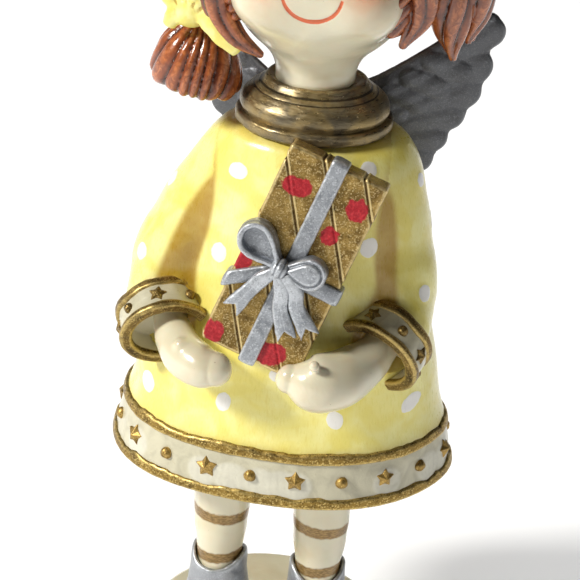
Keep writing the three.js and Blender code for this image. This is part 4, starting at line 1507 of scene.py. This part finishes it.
def crest_of(locks, p):
    """Height of the crests on whichever lock each point belongs to."""
    reach = np.stack([lock.field(p) for lock in locks])
    crests = np.stack([lock.crest(p) for lock in locks])
    return np.take_along_axis(crests, reach.argmin(0)[None], 0)[0]


BULB = Strand(
    [(-22.6, -2, 167), (-22.8, -2, 163), (-23.4, -2.4, 158.4), (-23.6, -2.8, 153), (-23.4, -3, 147)],
    [(3, 3), (5.8, 6), (8.8, 8.4), (10.3, 9.4), (9.8, 9)],
)
BULB_END = np.array([-24, -3, 150.6])
BULB_RIDGES = 17


def bulb_crest(p):
    t, angle = BULB.around(p)
    return ridges(angle + 0.16 * np.sin(3 * angle + 1) + 0.5 * t * t, BULB_RIDGES)


def left_pigtail_field(p):
    """A fan of thick ridges from the tie to a blunt slanted end."""
    t, across, deep, _, size = BULB.locate(p)
    crest = bulb_crest(p)
    body = (np.hypot(across / size[:, 0], deep / size[:, 1]) - 1) * size.min(1)
    body = body + 1.1 * (1 - crest) * smooth01(t * 5)
    slant = -(p - BULB_END) @ unit((0.16, 0, 1.0))
    slant = slant + 0.5 * uneven(p, 6, 0.3) - 0.6 * crest
    shoulder = ellipsoid(p, (-23.9, -2.4, 151), (13, 12, 16))
    return common(common(body, slant * 0.8, 2.2), shoulder, 2)


HAIR_LOCKS = {
    "left_front_lock": [
        ([(-13, -17, 193), (-18, -13.4, 183), (-18.6, -11, 173), (-14.2, -11, 165.8),
          (-8.6, -10.4, 161.8)],
         [(3, 2.6), (3.6, 3.2), (3.3, 3), (2.5, 2.4), (0.9, 0.9)], 5, 0.8, 1.2),
    ],
    "right_front_lock": [
        ([(17, -16.5, 193), (23.6, -11.5, 184), (24.6, -9, 175), (21.4, -8.8, 167)],
         [(3, 2.6), (3.7, 3.2), (3.4, 2.8), (1, 1)], 5, 0.8, -1.2),
    ],
    "right_pigtail": [
        ([(27, -1, 187.5), (29.6, -4.4, 180), (30.6, -3.4, 171), (31.6, -1, 162.6)],
         [(3, 3), (5, 4.4), (4.3, 3.8), (1, 1)], 5, 1.2, 2.2),
        ([(28.6, 0, 188), (34.4, -2.4, 182.5), (35.6, -0.6, 174), (34.4, 0.6, 166)],
         [(3, 3), (4.4, 4.2), (3.4, 3.4), (0.8, 0.8)], 5, 0.9, 1.8),
        ([(28.4, 3, 187), (32.6, 6, 180), (34.2, 5.6, 172), (35, 4, 165.5)],
         [(3, 3), (4.6, 4.4), (3.6, 3.6), (0.8, 0.8)], 5, 0.9, -1.8),
    ],
}

FRINGE = [
    ([(HEAD_X + 1, -19.5, 199), (-5, -21.6, 195.4), (-12, -19.6, 190.6), (-17.6, -15.4, 185)],
     [(1.4, 1.4), (3.6, 2.2), (3.8, 2.4), (2.4, 2)], 4, 0.5, 0.6),
    ([(HEAD_X, -18, 201.4), (-8.6, -18.6, 197.6), (-16, -15.4, 192), (-20.4, -11.4, 185)],
     [(1.4, 1.4), (3.4, 2.4), (3.8, 2.6), (2.6, 2.2)], 4, 0.5, 0.6),
    ([(HEAD_X - 0.6, -19.5, 199), (9.6, -21.4, 195.6), (16.4, -18.8, 191.4), (21.4, -14.4, 187)],
     [(1.4, 1.4), (3.6, 2.2), (3.8, 2.4), (2.4, 2)], 4, 0.5, -0.6),
    ([(HEAD_X, -18, 201.4), (12.6, -18, 198), (20, -14.4, 193.4), (24.6, -9.4, 187.6)],
     [(1.4, 1.4), (3.4, 2.4), (3.8, 2.6), (2.6, 2.2)], 4, 0.5, -0.6),
]

HAIR_BOWS = {
    "left_hair_bow": {
        "knot": (-24, -8, 170.6),
        "drape": ((-24.2, -8, 168.8), (4.4, 3.4, 3.6)),
        "loops": [[(-24.6, -7.4, 169.4), (-27.4, -8, 173), (-29, -7.6, 178)],
                  [(-23.2, -7.6, 169.6), (-21.4, -10.6, 174), (-22.4, -10.8, 179.4)]],
        "tails": [[(-22.6, -9.6, 169.6), (-19.8, -11.6, 168), (-16.4, -12, 165), (-13.4, -11.6, 162.6)],
                  [(-25.6, -8, 169), (-27.4, -9.6, 168), (-28.4, -9.8, 166)]],
    },
    "right_hair_bow": {
        "knot": (27.8, -3.4, 187.4),
        "drape": ((28, -3.2, 186.6), (4, 3.2, 3)),
        "loops": [[(28.2, -3.8, 188), (32.4, -4.8, 190.6), (34.6, -4.4, 195)],
                  [(27, -4.6, 188.4), (24, -8.6, 192), (23.4, -8.4, 196.4)]],
        "tails": [[(27, -5.4, 186.4), (25.4, -9, 182.6), (25.4, -9.6, 178.6)],
                  [(28.8, -5.6, 186.4), (31.2, -7.4, 184), (33.4, -7.4, 181.4)]],
    },
}


def bow_field(bow):
    """A tied hair ribbon: two plump loops with a hollow in each, a knot and two flat tails."""
    loops = [Strand(path, [(1.8, 1.6), (4.3, 2.6), (3.2, 1.8)]) for path in bow["loops"]]
    drape = bow["drape"]
    tails = [
        Strand(path, [(1.3, 1)] + [(2, 0.9)] * (len(path) - 2) + [(1.6, 0.8)]) for path in bow["tails"]
    ]
    knot = np.array(bow["knot"])

    def field(p):
        body = joined(np.linalg.norm(p - knot, axis=1) - 2.9, ellipsoid(p, *drape), 1.2)
        for loop in loops:
            t, across, deep, _, _ = loop.locate(p)
            dent = 1.1 * np.exp(-(across / 1.7) ** 2 - ((t - 0.62) / 0.26) ** 2) * (deep > 0)
            crease = 0.35 * np.exp(-((np.abs(across) - 0.9) / 0.35) ** 2) * smooth01((0.5 - t) / 0.3)
            body = joined(body, loop.field(p) + dent + crease, 0.9)
        for tail in tails:
            body = joined(body, tail.field(p), 0.7)
        pleat = 0.25 * np.exp(-((np.abs(p[:, 0] - knot[0]) - 0.9) / 0.3) ** 2)
        near = smooth01(1 - np.linalg.norm(p - knot, axis=1) / 4)
        return body + pleat * near + 0.08 * uneven(p, 4, 0.6)

    return field


def union_of(fields, soft):
    def field(p):
        body = fields[0](p)
        for other in fields[1:]:
            body = joined(body, other(p), soft)
        return body
    return field


def make_head():
    sculpt("head_cast", head_field, ["head"], 1, 0.4, "face", paint=face_layers)
    fringe = [Lock(*lock) for lock in FRINGE]
    whole_cap = union_of([hair_cap_field, *(lock.field for lock in fringe)], 0.4)

    def cap_layers(p):
        on_fringe = np.min([lock.field(p) for lock in fringe], axis=0) < hair_cap_field(p)
        return hair_layers(np.where(on_fringe, crest_of(fringe, p), combed(p)))

    sculpt("hair_cap_cast", whole_cap, ["hair_cap"], 1, 0.5, "hair", paint=cap_layers)
    sculpt("left_pigtail_cast", left_pigtail_field, ["left_pigtail"], 3, 0.4, "hair",
           paint=lambda p: hair_layers(bulb_crest(p)))
    for node, strands in HAIR_LOCKS.items():
        locks = [Lock(*strand) for strand in strands]
        sculpt(node + "_cast", union_of([lock.field for lock in locks], 0.3), [node], 6, 0.4,
               "hair", paint=lambda p: hair_layers(crest_of(locks, p)))
    for node, bow in HAIR_BOWS.items():
        sculpt(node + "_cast", bow_field(bow), [node], 7, 0.4, "bow", crease=0.6)


# ---- wings -----------------------------------------------------------------------------------

WING_POSES = {
    "left": {"sign": -1, "sweep": 20, "raise": -4, "scale": 0.8, "drop": 3.5},
    "right": {"sign": 1, "sweep": 12, "raise": 0, "scale": 0.9, "drop": 0},
}
WING_ROOT = np.array([0, 15, 147.5])
WING_SPACING = 3  # from the figure's leaning middle to each root
LONG_FEATHERS = [
    ([(2, -6), (14, -1), (27, 8), (36.6, 14.6)], 4.6),
    ([(1, -8), (14, -5), (25, 1), (33.6, 5.4)], 5.4),
    ([(0, -11), (12, -9), (22, -5), (31.4, -1.4)], 5.4),
    ([(-1, -13), (10, -12), (19, -10), (28.4, -7.8)], 4.8),
    ([(-1, -15), (8, -15), (16, -15.4), (24.8, -14.2)], 4.6),
    ([(-1, -17), (6, -18), (13, -19.4), (21.6, -20)], 4.6),
    ([(-1, -19), (4, -20.4), (9, -23), (15.6, -24.4)], 4.4),
    ([(-2, -19), (0, -21), (3, -23), (7.4, -25)], 4.0),
]
COVERTS = [(5, -6.4), (10.4, -5.4), (15.6, -2.6), (20.6, 1.6), (25.6, 6.2)]


def wing_place(p, pose):
    """Points in the wing's own plane: reach, height and depth towards the front."""
    q = p - WING_ROOT - np.array([LEAN + WING_SPACING * pose["sign"], 0, -pose["drop"]])
    x, y, z = q[:, 0] * pose["sign"], q[:, 1], q[:, 2]
    sweep, lift = math.radians(pose["sweep"]), math.radians(pose["raise"])
    x, y = x * math.cos(sweep) + y * math.sin(sweep), y * math.cos(sweep) - x * math.sin(sweep)
    x, z = x * math.cos(lift) + z * math.sin(lift), z * math.cos(lift) - x * math.sin(lift)
    return np.stack([x / pose["scale"], z / pose["scale"], -y], 1)


def flat_strand(points, half_widths):
    path = [(u, v, 0) for u, v in points]
    return Strand(path, [(half_width, 1) for half_width in half_widths], facing=(0, 0, 1))


def flat_reach(strand, q):
    """Distance, in the wing's plane, to the outline of a feather with a round tip."""
    _, across, _, past, size = strand.locate(q * np.array([1, 1, 0]))
    return np.hypot(across, past) - size[:, 0]


WING_EDGE = flat_strand([(-2, -5), (8, -2.2), (16, 2.4), (24, 7.6), (31, 14.2), (36.4, 18)],
                        [2.2, 2.2, 2.1, 2, 1.8, 1.5])
FEATHERS = [
    flat_strand(points, (0.8 * half_width, half_width, half_width, 0.9 * half_width))
    for points, half_width in LONG_FEATHERS
]
COVERT_FEATHERS = [
    flat_strand([(u - 3, v + 0.4), (u + 1.6, v - 1), (u + 5, v - 2.2)], (2.6, 3, 2.6)) for u, v in COVERTS
]


def plump(reach, half_width):
    """How far a feather's back rises between its edges, from 0 to 1."""
    return np.sqrt(clamp01(-reach / half_width))


def wing_field(pose):
    def field(p):
        q = wing_place(p, pose)
        edge = flat_reach(WING_EDGE, q)
        outline, relief = edge, 0.9 * plump(edge, 2)
        for strand, (_, half_width) in zip(FEATHERS, LONG_FEATHERS):
            reach = flat_reach(strand, q)
            outline = joined(outline, reach, 2.6)
            relief = np.maximum(relief, plump(reach, half_width))
        coverts = np.zeros(len(p))
        for strand in COVERT_FEATHERS:
            reach = flat_reach(strand, q)
            outline = np.minimum(outline, reach)
            coverts = np.maximum(coverts, plump(reach, 3))
        half = 0.5 + 1.0 * relief + 0.5 * coverts
        body = common(outline, np.abs(q[:, 2]) - half, 1.0)
        return (body + 0.05 * uneven(p, 5, 1)) * 0.9

    return field


def make_wing(side):
    field = wing_field(WING_POSES[side])

    def seated(p):
        return np.maximum(field(p), -np.maximum(bell(p), p[:, 2] - DRESS_TOP) - 0.8)

    sculpt(side + "_wing_cast", seated, [side + "_wing"], 1.5, 0.42, "wing", crease=0.6)


# ---- stage, light and camera -----------------------------------------------------------------

CAMERA_PLACE = Vector((0.0578, -0.4398, 0.3336))
CAMERA_TARGET = Vector((0.0003, -0.0025, 0.1025))
CAMERA_ROLL = math.radians(3.98)
CAMERA_LENS = 136.06


def make_camera():
    camera = bpy.data.objects.new("camera", bpy.data.cameras.new("camera"))
    camera.data.lens = CAMERA_LENS
    back = (CAMERA_PLACE - CAMERA_TARGET).normalized()
    right = Vector((0, 0, 1)).cross(back).normalized()
    up = back.cross(right)
    across = right * math.cos(CAMERA_ROLL) + up * math.sin(CAMERA_ROLL)
    upright = up * math.cos(CAMERA_ROLL) - right * math.sin(CAMERA_ROLL)
    turn = Matrix((across, upright, back)).transposed()
    camera.matrix_world = Matrix.Translation(CAMERA_PLACE) @ turn.to_4x4()
    bpy.context.scene.collection.objects.link(camera)
    bpy.context.scene.camera = camera


def area_light(name, place, size, power, tint):
    light = bpy.data.lights.new(name, "AREA")
    light.shape = "DISK"
    light.size = size
    light.energy = power
    light.color = tint
    lamp = bpy.data.objects.new(name, light)
    lamp.location = place
    lamp.rotation_euler = (AIM - Vector(place)).to_track_quat("-Z", "Y").to_euler()
    bpy.context.scene.collection.objects.link(lamp)
    return lamp


FLOOR_SIDES = 96
# The floor's radius and height in metres, out to the top of its turned-up rim.
FLOOR_SECTION = [(2.3, 0), (2.6, 0.03), (2.8, 0.12), (2.93, 0.28), (3, 0.5), (3, 0.65)]
FLOOR_DROP = 0.0002
FLOOR_WHITE = (0.97, 0.97, 0.97, 1)
FLOOR_SHADE = (0.94, 0.94, 0.94, 1)
AIM = Vector((0, 0, 0.11))
LIGHTS = {  # place, size, power and tint
    "key": ((-1.75, -0.95, 1.6), 0.5, 67, (1, 0.98, 0.94)),
    "fill": ((0.9, -1.2, 0.7), 1.0, 0.2, (0.95, 0.97, 1)),
    "backdrop": ((0.1, 0.1, 2), 2.0, 30, (1, 1, 1)),
}
SKY_STRENGTH = 0.03


def floor_mesh():
    turns = np.linspace(0, math.tau, FLOOR_SIDES, endpoint=False)
    rings = []
    for reach, rise in FLOOR_SECTION:
        rings.append(np.stack([reach * np.cos(turns), reach * np.sin(turns), 0 * turns + rise], 1))
    corners = np.concatenate(rings)
    faces = [tuple(range(FLOOR_SIDES))]
    for first in range(0, len(corners) - FLOOR_SIDES, FLOOR_SIDES):
        for i in range(FLOOR_SIDES):
            j = (i + 1) % FLOOR_SIDES
            faces.append((first + i, first + FLOOR_SIDES + i, first + FLOOR_SIDES + j, first + j))
    return corners / MM, faces


def make_studio():
    """One soft key from the left, a faint fill, and a pale floor with a light of its own."""
    lamps = {name: area_light(name, *settings) for name, settings in LIGHTS.items()}
    world = bpy.data.worlds.new("studio")
    world.use_nodes = True
    background = world.node_tree.nodes["Background"]
    background.inputs["Color"].default_value = (1, 1, 1, 1)
    background.inputs["Strength"].default_value = SKY_STRENGTH
    bpy.context.scene.world = world
    bpy.context.scene.view_settings.view_transform = "Standard"

    floor = Finish("floor_white", Roughness=0.8)
    floor.set("Base Color", floor.blend(floor.noise(400, 1), FLOOR_WHITE, FLOOR_SHADE))
    stage = mesh_object("floor", *floor_mesh(), floor.material)
    stage.location.z = -FLOOR_DROP
    floor_only = bpy.data.collections.new("backdrop_only")
    floor_only.objects.link(stage)
    lamps["backdrop"].light_linking.receiver_collection = floor_only


# ---- assembly --------------------------------------------------------------------------------

make_camera()
make_base()
for side, sign in (("left", -1), ("right", 1)):
    make_leg(side, sign)
make_dress()
make_hem()
for side in ARMS:
    make_sleeve(side)
    make_cuff(side)
    make_hand(side)
make_gift()
make_collar()
make_head()
for side in WING_POSES:
    make_wing(side)
make_studio()
